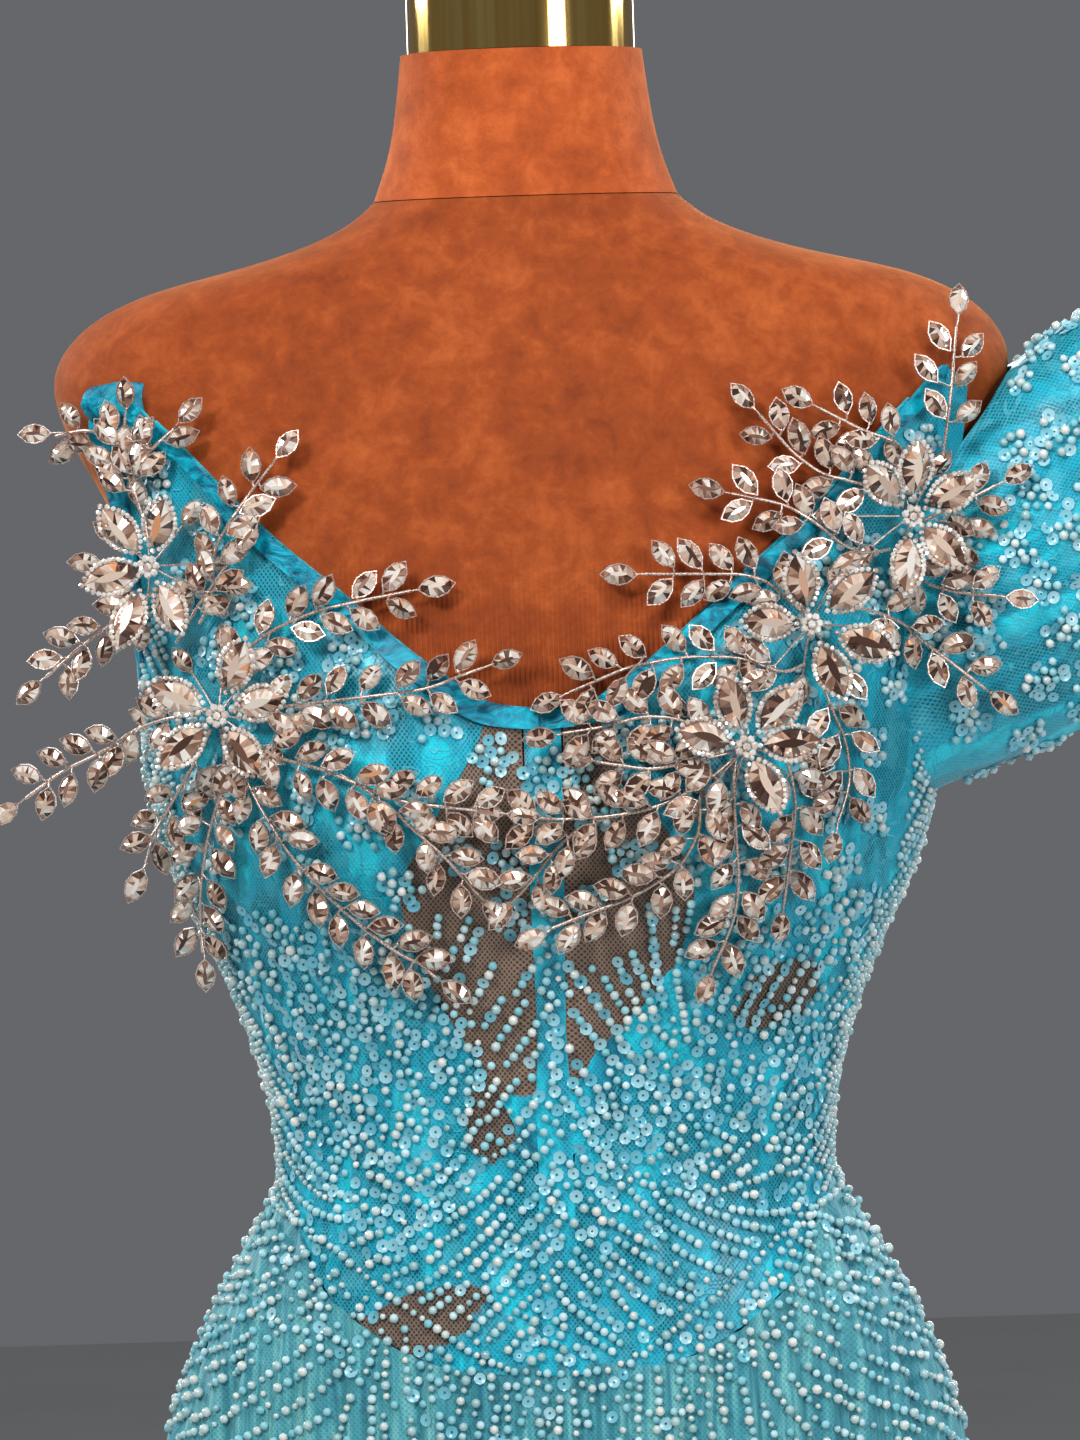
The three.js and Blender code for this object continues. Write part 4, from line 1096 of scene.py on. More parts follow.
def sew(kind, place, out, grain, draw, far):
    """Notes one bead: its place, own three directions, size and tone, and if it is far round."""
    size = DIAMETER[kind] * draw.uniform(0.9, 1.08)
    tilt = out + np.array([draw.uniform(-TILT[kind], TILT[kind]) for _ in range(3)])
    tilt /= np.linalg.norm(tilt)
    side = crossed(grain, tilt)
    side /= np.linalg.norm(side)
    turn = np.array([crossed(side, tilt), side, tilt])
    beads[kind].append((place + out * size * SEAT[kind], turn, size, draw.random(), far))


# A string may run on until it is this share of its gap from another. Its beads stray from its
# line by up to so many mm.
GAP_LEFT = 0.86
STRAY = 0.45


# A plan answers, for a place on the cloth: the string's heading, the gap to other strings, the
# pitch of its beads, the kind of string, the fewest and most beads each way, and if it is far
# round, where simpler beads will do. It answers nothing where no string runs.
def lay_rows(ground, crowd, plan, box, tries, draw):
    """Runs strings of beads along the plan's heading, each a gap away from those before it."""
    low_u, high_u, low_v, high_v = box
    for _ in range(tries):
        seed = (draw.uniform(low_u, high_u), draw.uniform(low_v, high_v))
        asked = plan(*seed, draw)
        if asked is None:
            continue
        number = crowd.new_row()
        heading, gap, pitch, style, run, far = asked
        first = ground.at(*seed)
        if np.isnan(first[3]).any() or not crowd.free(first[0], gap, number):
            continue
        halves = []
        for way in (1, -1):
            u, v = seed
            half = []
            for _ in range(draw.randint(run[0], run[1])):
                here = ground.at(u, v)
                lead = plan(u, v, draw)
                if lead is None or np.isnan(here[3]).any():
                    break
                step = way * pitch * draw.uniform(0.94, 1.1)
                u += step * math.cos(lead[0]) / math.sqrt(here[1] @ here[1])
                v += step * math.sin(lead[0]) / math.sqrt(here[2] @ here[2])
                there = ground.at(u, v)
                if np.isnan(there[3]).any() or plan(u, v, draw) is None:
                    break
                if not crowd.free(there[0], gap * GAP_LEFT, number):
                    break
                half.append(there)
            halves.append(half)
        row = halves[1][::-1] + [first] + halves[0]
        kinds = draw.choice(STRINGS[style])
        for k, (place, across, along, out) in enumerate(row):
            grain = across * math.cos(heading) / np.linalg.norm(across)
            grain = grain + along * math.sin(heading) / np.linalg.norm(along)
            stray = across * (draw.uniform(-STRAY, STRAY) * MM / np.linalg.norm(across))
            sew(kinds[k % len(kinds)], place + stray, out, grain, draw, far)
            crowd.add(place, number)


# A blossom's two rings, each as its radius and how many beads go round, and its beads' gap.
INNER_RING = (4.4 * MM, 6)
OUTER_RING = (8.6 * MM, 11)
BLOSSOM_GAP = 3.2 * MM
RING_BEADS = ("sequin", "frost", "frost", "sequin", "sequin", "pearl")


def lay_clusters(ground, crowd, plan, box, tries, draw):
    """Sews blossoms of beads: a pearl, a ring close round it and a loose second ring."""
    low_u, high_u, low_v, high_v = box
    for _ in range(tries):
        seed = (draw.uniform(low_u, high_u), draw.uniform(low_v, high_v))
        asked = plan(*seed, draw)
        if asked is None:
            continue
        gap, fullness, far = asked
        cluster = crowd.new_row()
        middle = ground.at(*seed)
        if np.isnan(middle[3]).any() or not crowd.free(middle[0], gap, cluster):
            continue
        crowd.add(middle[0], cluster)
        sew("pearl", middle[0], middle[3], middle[1], draw, far)
        reach, count = INNER_RING
        spokes = [(reach, k * math.tau / count) for k in range(count)]
        reach, count = OUTER_RING
        spokes += [(reach, k * math.tau / count) for k in range(count) if draw.random() < fullness]
        for reach, angle in spokes:
            reach *= draw.uniform(0.9, 1.15)
            angle += draw.uniform(-0.2, 0.2)
            u = seed[0] + reach * math.cos(angle) / np.linalg.norm(middle[1])
            v = seed[1] + reach * math.sin(angle) / np.linalg.norm(middle[2])
            place, across, along, out = ground.at(u, v)
            if np.isnan(out).any() or not crowd.free(place, BLOSSOM_GAP, cluster):
                continue
            sew(draw.choice(RING_BEADS), place, out, across, draw, far)
            crowd.add(place, cluster)


gown_turn = np.radians(MAP_ANGLES)
gown_places = np.stack([
    gown_radii * np.sin(gown_turn),
    -gown_radii * np.cos(gown_turn),
    np.repeat(MAP_HEIGHTS[:, None], len(MAP_ANGLES), axis=1),
], axis=2)
gown_ground = Ground(MAP_ANGLES, MAP_HEIGHTS, gown_places)

# The net windows' half angle, by the share of the way up from the waist to the top edge.
INSET_SHARES = [0.38, 0.44, 0.5, 0.56, 0.64, 0.74, 0.84, 0.96, 1]
INSET_ANGLES = [4, 12.5, 17.5, 21, 21.5, 16, 11.5, 6.6, 6]
cloth_top = np.array([
    MAP_HEIGHTS[np.nonzero(~np.isnan(gown_radii[:, j]))[0].max()] for j in range(len(MAP_ANGLES))
])
# Where one way of beading ends and the next begins: a clear edge, then angles from the centre
# front, then heights.
EDGE_CLEAR = 12 * MM
STRIP_SIDE = 2.6
FRONT_SIDE = 74
BACK_SIDE = 112
BLOSSOM_SIDE = 76
BLOSSOM_FOOT = 1.165
BLOSSOM_OVER_NET = 1.19
STRING_TOP = 1.17
WINDOW_STRING_TOP = 1.146
PATCHES_FROM = 1.1
HIP_FOOT = 0.88
SKIRT_TOP = 0.885
KNEE = 0.5


def edges_at(angle, height):
    """The cloth's waist and top edge at an angle, and the net window's half angle at a height."""
    waist = np.interp(abs(angle), WAIST_ANGLES, WAIST_HEIGHTS) * MM
    top = np.interp(angle, MAP_ANGLES, cloth_top)
    share = (height - waist) / (top - waist)
    inset = np.interp(share, INSET_SHARES, INSET_ANGLES) if share > INSET_SHARES[0] else 0
    return waist, top, inset


def strung(angle, height):
    """Whether the bodice's beads run in strings at a place, or lie loose."""
    return noise.noise(Vector((angle * 0.05, height * 17, 8.7))) > 0.1


# The strings' slope, in degrees, going away from the centre front, by the angle round from it:
# near the waist, at the ribs and at the bust. One fan turns into the next over a short height.
SLOPE_SIDES = (0, 18, 32, 48, 64, 82, 110, 160)
WAIST_SLOPES = (-46, -42, -32, -14, 12, 34, 60, 90)
RIB_SLOPES = (-50, -52, -66, -100, -130, -140, -100, -90)
BUST_SLOPES = (-52, -62, -90, -118, -125, -135, -100, -90)
RIB_FAN_FROM = 1.035
BUST_FAN_FROM = 1.1
FAN_TURN = 0.05


def heading_at(angle, height):
    """Which way a string on the bodice runs, in radians."""
    side = abs(angle)
    slope = np.interp(side, SLOPE_SIDES, RIB_SLOPES)
    if height < RIB_FAN_FROM + FAN_TURN:
        low = np.interp(side, SLOPE_SIDES, WAIST_SLOPES)
        share = np.clip((height - RIB_FAN_FROM) / FAN_TURN, 0, 1)
        if slope <= -90 and low > -20:
            slope += 180
        slope = low * (1 - share) + slope * share
    else:
        high = np.interp(side, SLOPE_SIDES, BUST_SLOPES)
        share = np.clip((height - BUST_FAN_FROM) / FAN_TURN, 0, 1)
        slope = slope * (1 - share) + high * share
    return mirrored(angle, math.radians(slope))


def mirrored(angle, heading):
    return math.pi - heading if angle < 0 else heading


def bodice_plan(angle, height, draw):
    side = abs(angle)
    waist, top, inset = edges_at(angle, height)
    if height < waist + 2 * MM or height > top - EDGE_CLEAR:
        return None
    heading = heading_at(angle, height)
    patch = noise.noise(Vector((angle * 0.09, height * 26, 3.1)))
    if side > BACK_SIDE:
        return heading, 6.4 * MM, 4.6 * MM, "far", (4, 12), True
    if side > FRONT_SIDE:
        return heading, 4.5 * MM, 3.5 * MM, "fine", (4, 16), False
    if STRIP_SIDE < side < inset:
        if height > WINDOW_STRING_TOP + 0.03 * patch:
            return None
        return heading, 6.4 * MM, 4.3 * MM, "window", (3, 9), False
    if height > STRING_TOP or (height > PATCHES_FROM and patch < -0.22):
        return None
    if strung(angle, height):
        return heading + 0.3 * patch, 5.3 * MM, 3.95 * MM, "mixed", (2, 7), False
    return heading + draw.uniform(-0.5, 0.5), 4.7 * MM, 4.4 * MM, "loose", (0, 2), False


def hip_plan(angle, height, draw):
    """Strings that wrap the sides of the hips and turn down to the skirt's own."""
    side = abs(angle)
    if height > edges_at(angle, height)[0] - 3 * MM or height <= HIP_FOOT:
        return None
    slope = np.interp(side, (42, 56, 92, 108), (90, 152, 158, 90)) if 42 <= side <= 108 else 90
    if height < 0.9:
        slope = 90
    slope += 24 * noise.noise(Vector((angle * 0.11, height * 24, 5.3)))
    heading = mirrored(angle, math.radians(slope))
    return heading, 5.9 * MM, 4.3 * MM, "hip", (1, 5), side > BACK_SIDE


def skirt_plan(angle, height, draw):
    """Strings that hang down the skirt and thin out towards the knee."""
    if height > SKIRT_TOP:
        return None
    gap = np.interp(height, (KNEE, 0.7, 0.89), (19, 11.5, 7.2)) * MM
    sway = noise.noise(Vector((angle * 0.05, height * 5, 0)))
    return math.radians(90 + 16 * sway), gap, 5.2 * MM, "far", (2, 6), True


def filler_plan(angle, height, draw):
    """Single beads in whatever room the strings leave."""
    side = abs(angle)
    waist, top, inset = edges_at(angle, height)
    if side > FRONT_SIDE or height < waist - 40 * MM or height > min(BLOSSOM_FOOT, top - EDGE_CLEAR):
        return None
    if STRIP_SIDE < side < inset + 1:
        return None
    gap = 4.3 * MM if strung(angle, height) else 3.8 * MM
    return 0.0, gap, 4 * MM, "filler", (0, 0), False


def waist_row(angle, height, draw):
    """The string that covers the seam between the bodice and the skirt."""
    if abs(height - edges_at(angle, height)[0]) > 2 * MM:
        return None
    return 0.0, 3.2 * MM, 4.1 * MM, "hip", (0, 1), abs(angle) > BACK_SIDE


def cup_clusters(angle, height, draw):
    """Blossoms over the cups: the gap between them, how full they are, and if they are far."""
    side = abs(angle)
    _, top, inset = edges_at(angle, height)
    if side > BLOSSOM_SIDE or height < BLOSSOM_FOOT or height > top - EDGE_CLEAR - 3 * MM:
        return None
    if STRIP_SIDE < side < inset - 1 and height > BLOSSOM_OVER_NET:
        return None
    return 13.5 * MM, 0.62, False


draw = random.Random(52)
crowd = Crowd()
for angle in np.arange(-179, 179, 1.9):
    height = np.interp(abs(angle), WAIST_ANGLES, WAIST_HEIGHTS) * MM
    lay_rows(gown_ground, crowd, waist_row, (angle, angle, height, height + 0.5 * MM), 1, draw)
# What is sewn on the gown, in this order: how, after which plan, between which angles and
# heights, and how many places are tried.
for lay, plan, box, tries in (
    (lay_rows, bodice_plan, (-BACK_SIDE, BACK_SIDE, 0.97, 1.3), 9000),
    (lay_clusters, cup_clusters, (-BLOSSOM_SIDE, BLOSSOM_SIDE, BLOSSOM_FOOT, 1.37), 1500),
    (lay_rows, hip_plan, (-180, 180, HIP_FOOT, 1.045), 5200),
    (lay_rows, filler_plan, (-FRONT_SIDE, FRONT_SIDE, 0.94, BLOSSOM_FOOT), 6000),
    (lay_rows, bodice_plan, (BACK_SIDE, 180, 1.04, 1.26), 1900),
    (lay_rows, bodice_plan, (-180, -BACK_SIDE, 1.04, 1.26), 1900),
    (lay_rows, skirt_plan, (-180, 180, KNEE, SKIRT_TOP), 5200),
):
    lay(gown_ground, crowd, plan, box, tries, draw)

SLEEVE_TURNS = np.arange(-180, 181, 5.0)
SLEEVE_ALONGS = np.arange(-40, 300, 5) * MM
sleeve_tree = tree_of([sleeve])
sleeve_places = np.full((len(SLEEVE_ALONGS), len(SLEEVE_TURNS), 3), np.nan)
for i, along in enumerate(SLEEVE_ALONGS):
    place, ahead, up = sleeve_middle(max(0.0, along))
    place = place + ahead * min(0.0, float(along))
    for j, angle in enumerate(np.radians(SLEEVE_TURNS)):
        away = up * math.cos(angle) + Vector((0, -1, 0)) * math.sin(angle)
        hit = sleeve_tree.ray_cast(place + away * 0.2, -away, 0.17)[0]
        if hit is not None:
            sleeve_places[i, j] = hit
sleeve_ground = Ground(SLEEVE_TURNS, SLEEVE_ALONGS, sleeve_places)


def sleeve_clusters(angle, along, draw):
    """Blossoms all over the sleeve, set closer on its front and top."""
    if along > 285 * MM or along < -30 * MM:
        return None
    far = abs(angle) > 120 or angle < -30 or along > 0.2
    return 17 * MM if far else 10.6 * MM, 0.7, far


lay_clusters(sleeve_ground, crowd, sleeve_clusters, (-180, 180, -0.03, 0.28), 2600, draw)


def sphere_shape(segments, rings, radius=0.5):
    bpy.ops.mesh.primitive_uv_sphere_add(segments=segments, ring_count=rings, radius=radius)
    return shape_arrays(bpy.context.object)


round_shape = sphere_shape(7, 5)
small_round_shape = sphere_shape(6, 4)
far_round_shape = sphere_shape(6, 3, radius=0.54)

# A frosted bead is a short barrel: a ball with its upper and lower rings spread and pressed flat.
BARREL_RING = 0.3536
BARREL_SPREAD = 1.3
BARREL_HEIGHT = 0.78
bpy.ops.mesh.primitive_uv_sphere_add(segments=8, ring_count=4, radius=0.5)
barrel = bpy.context.object
for corner in barrel.data.vertices:
    if abs(abs(corner.co.z) - BARREL_RING) < 0.01:
        corner.co.x *= BARREL_SPREAD
        corner.co.y *= BARREL_SPREAD
    corner.co.z *= BARREL_HEIGHT
barrel_shape = shape_arrays(barrel)

bpy.ops.mesh.primitive_circle_add(vertices=9, radius=0.5, fill_type="NGON")
disc = bpy.context.object
bpy.ops.object.mode_set(mode="EDIT")
bpy.ops.mesh.select_mode(type="FACE")
bpy.ops.mesh.select_all(action="SELECT")
bpy.ops.mesh.inset(thickness=0.2)
bpy.ops.transform.translate(value=(0, 0, -0.08))
bpy.ops.mesh.inset(thickness=0.17)
bpy.ops.mesh.delete(type="FACE")
bpy.ops.mesh.select_mode(type="VERT")
bpy.ops.object.mode_set(mode="OBJECT")
disc_shape = shape_arrays(disc)


def bead_finish(name, cloud_scale, dark, mid, pale, relief=0, **fixed):
    """A bead's own tone, a little clouded, picks its colour between three."""
    bead = Finish(name, **fixed)
    cloud = bead.noise(bead.place(), cloud_scale, 2)
    colour = bead.ramp(bead.tone() * 0.8 + cloud * 0.2, (0, dark), (0.5, mid), (1, pale))
    bead.feed("Base Color", colour)
    if relief:
        bead.bump(cloud, relief)
    return bead


pearl = bead_finish(
    "pearl", 420, tint(128, 180, 188), tint(180, 208, 210), tint(236, 234, 228),
    Roughness=0.24, Specular_IOR_Level=0.7, Coat_Weight=0.7, Coat_Roughness=0.08,
)
frost = bead_finish(
    "frosted_bead", 520, tint(106, 188, 202), tint(156, 210, 220), tint(214, 236, 242),
    relief=0.05 * MM, Roughness=0.42, Specular_IOR_Level=0.5,
)
sequin = bead_finish(
    "aqua_sequin", 300, tint(92, 184, 208), tint(136, 208, 226), tint(190, 232, 242),
    Roughness=0.2, Specular_IOR_Level=0.7, Alpha=0.85,
)

BEAD_MAKING = {
    "pearl": (round_shape, far_round_shape, pearl),
    "fine": (small_round_shape, far_round_shape, pearl),
    "frost": (barrel_shape, far_round_shape, frost),
    "sequin": (disc_shape, disc_shape, sequin),
}
for kind, (near_shape, far_shape, finish) in BEAD_MAKING.items():
    for far, shape in ((False, near_shape), (True, far_shape)):
        chosen = [bead for bead in beads[kind] if bool(bead[4]) == far]
        places, turns, sizes, tones = (np.array([bead[k] for bead in chosen]) for k in range(4))
        name = f"{kind}_beads_{'lower' if far else 'upper'}"
        finish_piece(repeat(name, shape, places, turns, sizes, tones), finish, "crystal")


# ------------------------------------------------------------------ the rhinestone sprays
# Two wired sprays are pinned over the neckline. Foiled navette stones stand in pairs along
# silver stems, and large navettes rimmed with rhinestone chain make five flower heads.
front_tree = tree_of(gown + bindings + [form, neck, sleeve])
PIN_LIFT = 9.5 * MM
SIDE_SHRINK = 2 * MM


def cast_back(x, height):
    """Where a level line from in front meets the gown or the form, and the surface's way out."""
    return front_tree.ray_cast(Vector((x, -0.6, height)), Vector((0, 1, 0)), 0.75)[:2]


def on_front(x, height, lift):
    """The place `lift` in front of the gown at x and a height, and the way out from there."""
    reach = x
    hit, out = cast_back(reach, height)
    while hit is None:
        reach -= math.copysign(SIDE_SHRINK, x)
        hit, out = cast_back(reach, height)
    out = (out + Vector((0, -1.6, 0))).normalized()
    if abs(reach - x) > 3 * SIDE_SHRINK:
        hit = cast_back(reach * 0.97, height)[0]
        out = Vector((math.copysign(0.15, x), -1, 0)).normalized()
    place = Vector((x, hit.y, height)) + out * lift
    return np.array(place), np.array(out)


def settled(x, height, lift):
    """As on_front, averaged over a few near places, so that a stone stands steady."""
    places, outs = [], []
    for dx, dz in ((0, 0), (6, 0), (-6, 0), (0, 6), (0, -6)):
        place, out = on_front(x + dx * MM, height + dz * MM, lift)
        places.append(place[1])
        outs.append(out)
    middle, _ = on_front(x, height, lift)
    middle[1] = min(places[0], np.mean(places))
    out = np.mean(outs, axis=0)
    return middle, out / np.linalg.norm(out)


def lens(turn):
    """The edge of a pointed oval at a turn from -pi to pi: how far along it, and across it."""
    along = 1 - 2 * abs(turn) / math.pi
    return along, math.copysign((1 - along * along) ** 0.9, turn)


def navette_outline(piece, grown=1.0):
    for corner in piece.data.vertices:
        along, across = lens(math.atan2(corner.co.y, corner.co.x))
        corner.co.x = along * 0.5 * grown
        corner.co.y = across * 0.5 * grown


def navette(rim, table_long, table_wide, crown, pavilion):
    """A pointed oval stone one unit long and wide, cut with a crown, a table and a back."""
    bpy.ops.mesh.primitive_circle_add(vertices=rim, radius=1, fill_type="NGON")
    stone = bpy.context.object
    navette_outline(stone)
    bpy.ops.object.mode_set(mode="EDIT")
    bpy.ops.mesh.select_all(action="SELECT")
    bpy.ops.mesh.extrude_region_move(TRANSFORM_OT_translate={"value": (0, 0, crown)})
    bpy.ops.transform.resize(value=(table_long, table_wide, 1))
    bpy.ops.object.mode_set(mode="OBJECT")
    shape = bmesh.new()
    shape.from_mesh(stone.data)
    flat = [f for f in shape.faces if all(abs(v.co.z) < 1e-6 for v in f.verts)]
    if flat:
        bmesh.ops.delete(shape, geom=flat, context="FACES_ONLY")
    culet = shape.verts.new((0, 0, -pavilion))
    edges = [e for e in shape.edges if all(abs(v.co.z) < 1e-6 for v in e.verts)]
    for edge in edges:
        shape.faces.new((edge.verts[0], edge.verts[1], culet))
    walls = [f for f in shape.faces if len(f.verts) == 4]
    bmesh.ops.triangulate(shape, faces=walls, quad_method="ALTERNATE")
    bmesh.ops.recalc_face_normals(shape, faces=shape.faces)
    shape.to_mesh(stone.data)
    shape.free()
    return shape_arrays(stone)


def stone_finish(name, cloud_scale, rough, stops, **fixed):
    """A foiled stone: each facet's tone picks its colour as painted light and reflection, and its polish
    varies a little.
    """
    stone = Finish(name, Specular_IOR_Level=0.8, **fixed)
    stone.feed("Base Color", stone.ramp(stone.tone(), *stops))
    cloud = stone.noise(stone.place(), cloud_scale, 2)
    stone.feed("Roughness", stone.span(cloud, 0.3, 0.7, *rough))
    return stone


# Painted reflection: the facets' tones run from dark brown to near white, as the light and shade a cut stone
# throws back. The thin orange band at 0.48 is a painted glint.
CRYSTAL_PAINTED_FACET_LIGHT = [
    (0, tint(74, 50, 40)), (0.16, tint(126, 90, 74)), (0.34, tint(178, 138, 118)),
    (0.47, tint(210, 174, 154)), (0.48, tint(236, 160, 104)), (0.5, tint(216, 184, 164)),
    (0.76, tint(242, 220, 202)), (0.95, tint(255, 248, 240)),
]
# Painted reflection: the chain stones' facets, in darker and near white tones, stand for their sparkle.
CHAIN_PAINTED_FACET_LIGHT = [
    (0, tint(150, 120, 108)), (0.3, tint(208, 184, 170)), (0.65, tint(244, 230, 220)),
    (1, tint(255, 253, 250)),
]
crystal = stone_finish(
    "foiled_crystal", 90, (0.05, 0.13), CRYSTAL_PAINTED_FACET_LIGHT,
    Metallic=0.3, Coat_Weight=0.5, Coat_Roughness=0.03,
)
bright_stone = stone_finish("bright_rhinestone", 300, (0.08, 0.16), CHAIN_PAINTED_FACET_LIGHT, Metallic=0.35)

silver = Finish("silver_wire", Metallic=0.6, Specular_IOR_Level=0.7)
silver_wind = silver.noise(silver.place(), 1100, 2)
silver.feed("Base Color", silver.ramp(silver_wind, (0.35, tint(184, 156, 144)), (0.65, tint(226, 204, 192))))
silver.feed("Roughness", silver.span(silver_wind, 0.3, 0.7, 0.2, 0.36))
silver.bump(silver_wind, 0.12 * MM)

# Flower heads: middle and the middle of each petal, as (x, height) in mm.
FLOWERS = {
    "left": [
        ((-158, 1315), [(-150, 1334), (-169, 1332), (-174, 1311), (-166, 1292), (-146, 1297)]),
        ((-131, 1252), [(-148, 1261), (-120, 1274), (-110, 1257), (-118, 1236), (-146, 1239)]),
    ],
    "right": [
        ((154, 1326), [(139, 1341), (154, 1348), (171, 1336), (167, 1312), (149, 1305)]),
        ((110, 1282), [(90, 1283), (105, 1301), (127, 1296), (133, 1273), (117, 1261)]),
        ((81, 1234), [(62, 1239), (75, 1253), (95, 1250), (100, 1235), (88, 1217)]),
    ],
}
# Stems, each as a line of (x, height) in mm out from its flower.
STEMS = {
    "left": [
        [(-163, 1335), (-168, 1352), (-173, 1366), (-184, 1373), (-199, 1371)],
        [(-164, 1338), (-168, 1350), (-162, 1360), (-149, 1371)],
        [(-165, 1340), (-170, 1360), (-169, 1376)],
        [(-140, 1290), (-134, 1299), (-133, 1321), (-122, 1338), (-108, 1355)],
        [(-131, 1262), (-123, 1277), (-109, 1287), (-88, 1295), (-70, 1298), (-52, 1301)],
        [(-126, 1254), (-109, 1255), (-89, 1257), (-68, 1259), (-48, 1261), (-24, 1269)],
        [(-124, 1246), (-110, 1235), (-89, 1230), (-70, 1222), (-56, 1216), (-39, 1214), (-20, 1211)],
        [(-129, 1246), (-126, 1236), (-117, 1216), (-104, 1195), (-89, 1178), (-72, 1162), (-47, 1143)],
        [(-82, 1228), (-66, 1218), (-52, 1204), (-41, 1193), (-29, 1178)],
        [(-132, 1246), (-130, 1236), (-133, 1219), (-139, 1201), (-143, 1179), (-144, 1150)],
        [(-136, 1246), (-142, 1234), (-151, 1219), (-160, 1205), (-168, 1188)],
        [(-140, 1252), (-156, 1250), (-173, 1242), (-189, 1234), (-203, 1228), (-218, 1217)],
        [(-160, 1303), (-166, 1298), (-182, 1288), (-195, 1279), (-208, 1268)],
        [(-150, 1282), (-139, 1299), (-125, 1317)],
    ],
    "right": [
        [(170, 1350), (172, 1361), (175, 1381), (178, 1402)],
        [(150, 1334), (138, 1339), (120, 1343), (107, 1353), (94, 1369)],
        [(155, 1345), (153, 1356), (138, 1361), (119, 1371)],
        [(146, 1312), (137, 1310), (126, 1314), (117, 1323), (103, 1332), (81, 1337)],
        [(112, 1284), (107, 1288), (93, 1302), (74, 1304), (44, 1305)],
        [(108, 1266), (100, 1262), (82, 1270), (59, 1271), (38, 1268), (12, 1258)],
        [(80, 1236), (72, 1236), (58, 1246), (42, 1248), (27, 1244), (9, 1242)],
        [(81, 1233), (76, 1232), (58, 1229), (44, 1226), (25, 1230)],
        [(80, 1232), (74, 1227), (61, 1218), (45, 1211), (26, 1208), (3, 1207), (-15, 1210)],
        [(34, 1209), (26, 1208), (11, 1201), (-1, 1189), (-13, 1176)],
        [(70, 1224), (63, 1219), (63, 1201), (54, 1186), (34, 1174), (17, 1168), (2, 1162)],
        [(78, 1229), (77, 1225), (77, 1201), (78, 1180), (76, 1164), (67, 1144)],
        [(92, 1234), (99, 1229), (102, 1210), (99, 1190), (96, 1169)],
        [(114, 1262), (117, 1251), (124, 1233), (125, 1217), (119, 1201)],
        [(128, 1289), (137, 1287), (152, 1280), (166, 1269), (186, 1253)],
        [(150, 1310), (156, 1300), (172, 1293), (192, 1291)],
        [(156, 1322), (162, 1322), (178, 1328), (194, 1336)],
    ],
}
LEAF_SIZE = np.array([14.6, 8.4, 8.4]) * MM
LEAF_TONES = (0.35, 0.66)
LEAF_GAP = 12.6 * MM
LEAF_SPREAD = math.radians(44)
LEAF_STALK = 3.2 * MM
PETAL_SIZE = np.array([24, 12, 12]) * MM
PETAL_TONES = (0.3, 0.6)
PETAL_RISE = 0.34
CHAIN_STONE = 2.5 * MM
CHAIN_STONES = 26
CHAIN_CLEAR = (1.1 * MM, 1.2 * MM)
HEART_STONE = 3.6 * MM
HEART_RING = 3.5 * MM
HEART_LIFT = 3.5 * MM
HEART_STONES = 7
CROWD_LEAVES = 8
CROWD_REACH = (22 * MM, 34 * MM)
STEM_RADIUS = 0.75 * MM
STEM_STEP = 3 * MM
STALK_RADIUS = 0.45 * MM

leaf_shape = navette(rim=10, table_long=0.56, table_wide=0.2, crown=0.32, pavilion=0.14)
petal_shape = navette(rim=12, table_long=0.6, table_wide=0.3, crown=0.3, pavilion=0.12)

# A stone's setting: a thin metal band round its rim, turned in over the edge.
bpy.ops.mesh.primitive_circle_add(vertices=8, radius=1, fill_type="NOTHING")
rim_band = bpy.context.object
navette_outline(rim_band, 1.06)
bpy.ops.object.mode_set(mode="EDIT")
bpy.ops.mesh.select_all(action="SELECT")
bpy.ops.transform.translate(value=(0, 0, -0.1))
bpy.ops.mesh.extrude_region_move(TRANSFORM_OT_translate={"value": (0, 0, 0.17)})
bpy.ops.mesh.extrude_region_move(TRANSFORM_OT_translate={"value": (0, 0, 0)})
bpy.ops.transform.resize(value=(0.92, 0.88, 1))
bpy.ops.object.mode_set(mode="OBJECT")
setting_shape = shape_arrays(rim_band)

# A chain stone: a small six-sided stone with a flat top.
bpy.ops.mesh.primitive_circle_add(vertices=6, radius=0.5, fill_type="NGON")
gem = bpy.context.object
bpy.ops.object.mode_set(mode="EDIT")
bpy.ops.mesh.select_all(action="SELECT")
bpy.ops.mesh.extrude_region_move(TRANSFORM_OT_translate={"value": (0, 0, 0.42)})
bpy.ops.transform.resize(value=(0.55, 0.55, 1))
bpy.ops.object.mode_set(mode="OBJECT")
gem_shape = shape_arrays(gem)


def leaned(direction, out):
    """A stone's own three directions: along it, across it, and out of the cloth."""
    along = direction - out * (direction @ out)
    along /= np.linalg.norm(along)
    return np.array([along, crossed(out, along), out])


def evenly(line, gap):
    """Places at equal steps along a bent line, and the line's direction at each."""
    line = np.array(line) * MM
    lengths = np.concatenate([[0], np.cumsum(np.linalg.norm(np.diff(line, axis=0), axis=1))])
    count = max(2, round(lengths[-1] / gap))
    at = np.linspace(0, lengths[-1], count + 1)
    fine = np.array([np.interp(at, lengths, line[:, k]) for k in (0, 1)]).T
    soft = fine.copy()
    soft[1:-1] = (fine[:-2] + 2 * fine[1:-1] + fine[2:]) / 4
    ways = np.gradient(soft, axis=0)
    return soft, ways / np.linalg.norm(ways, axis=1)[:, None]


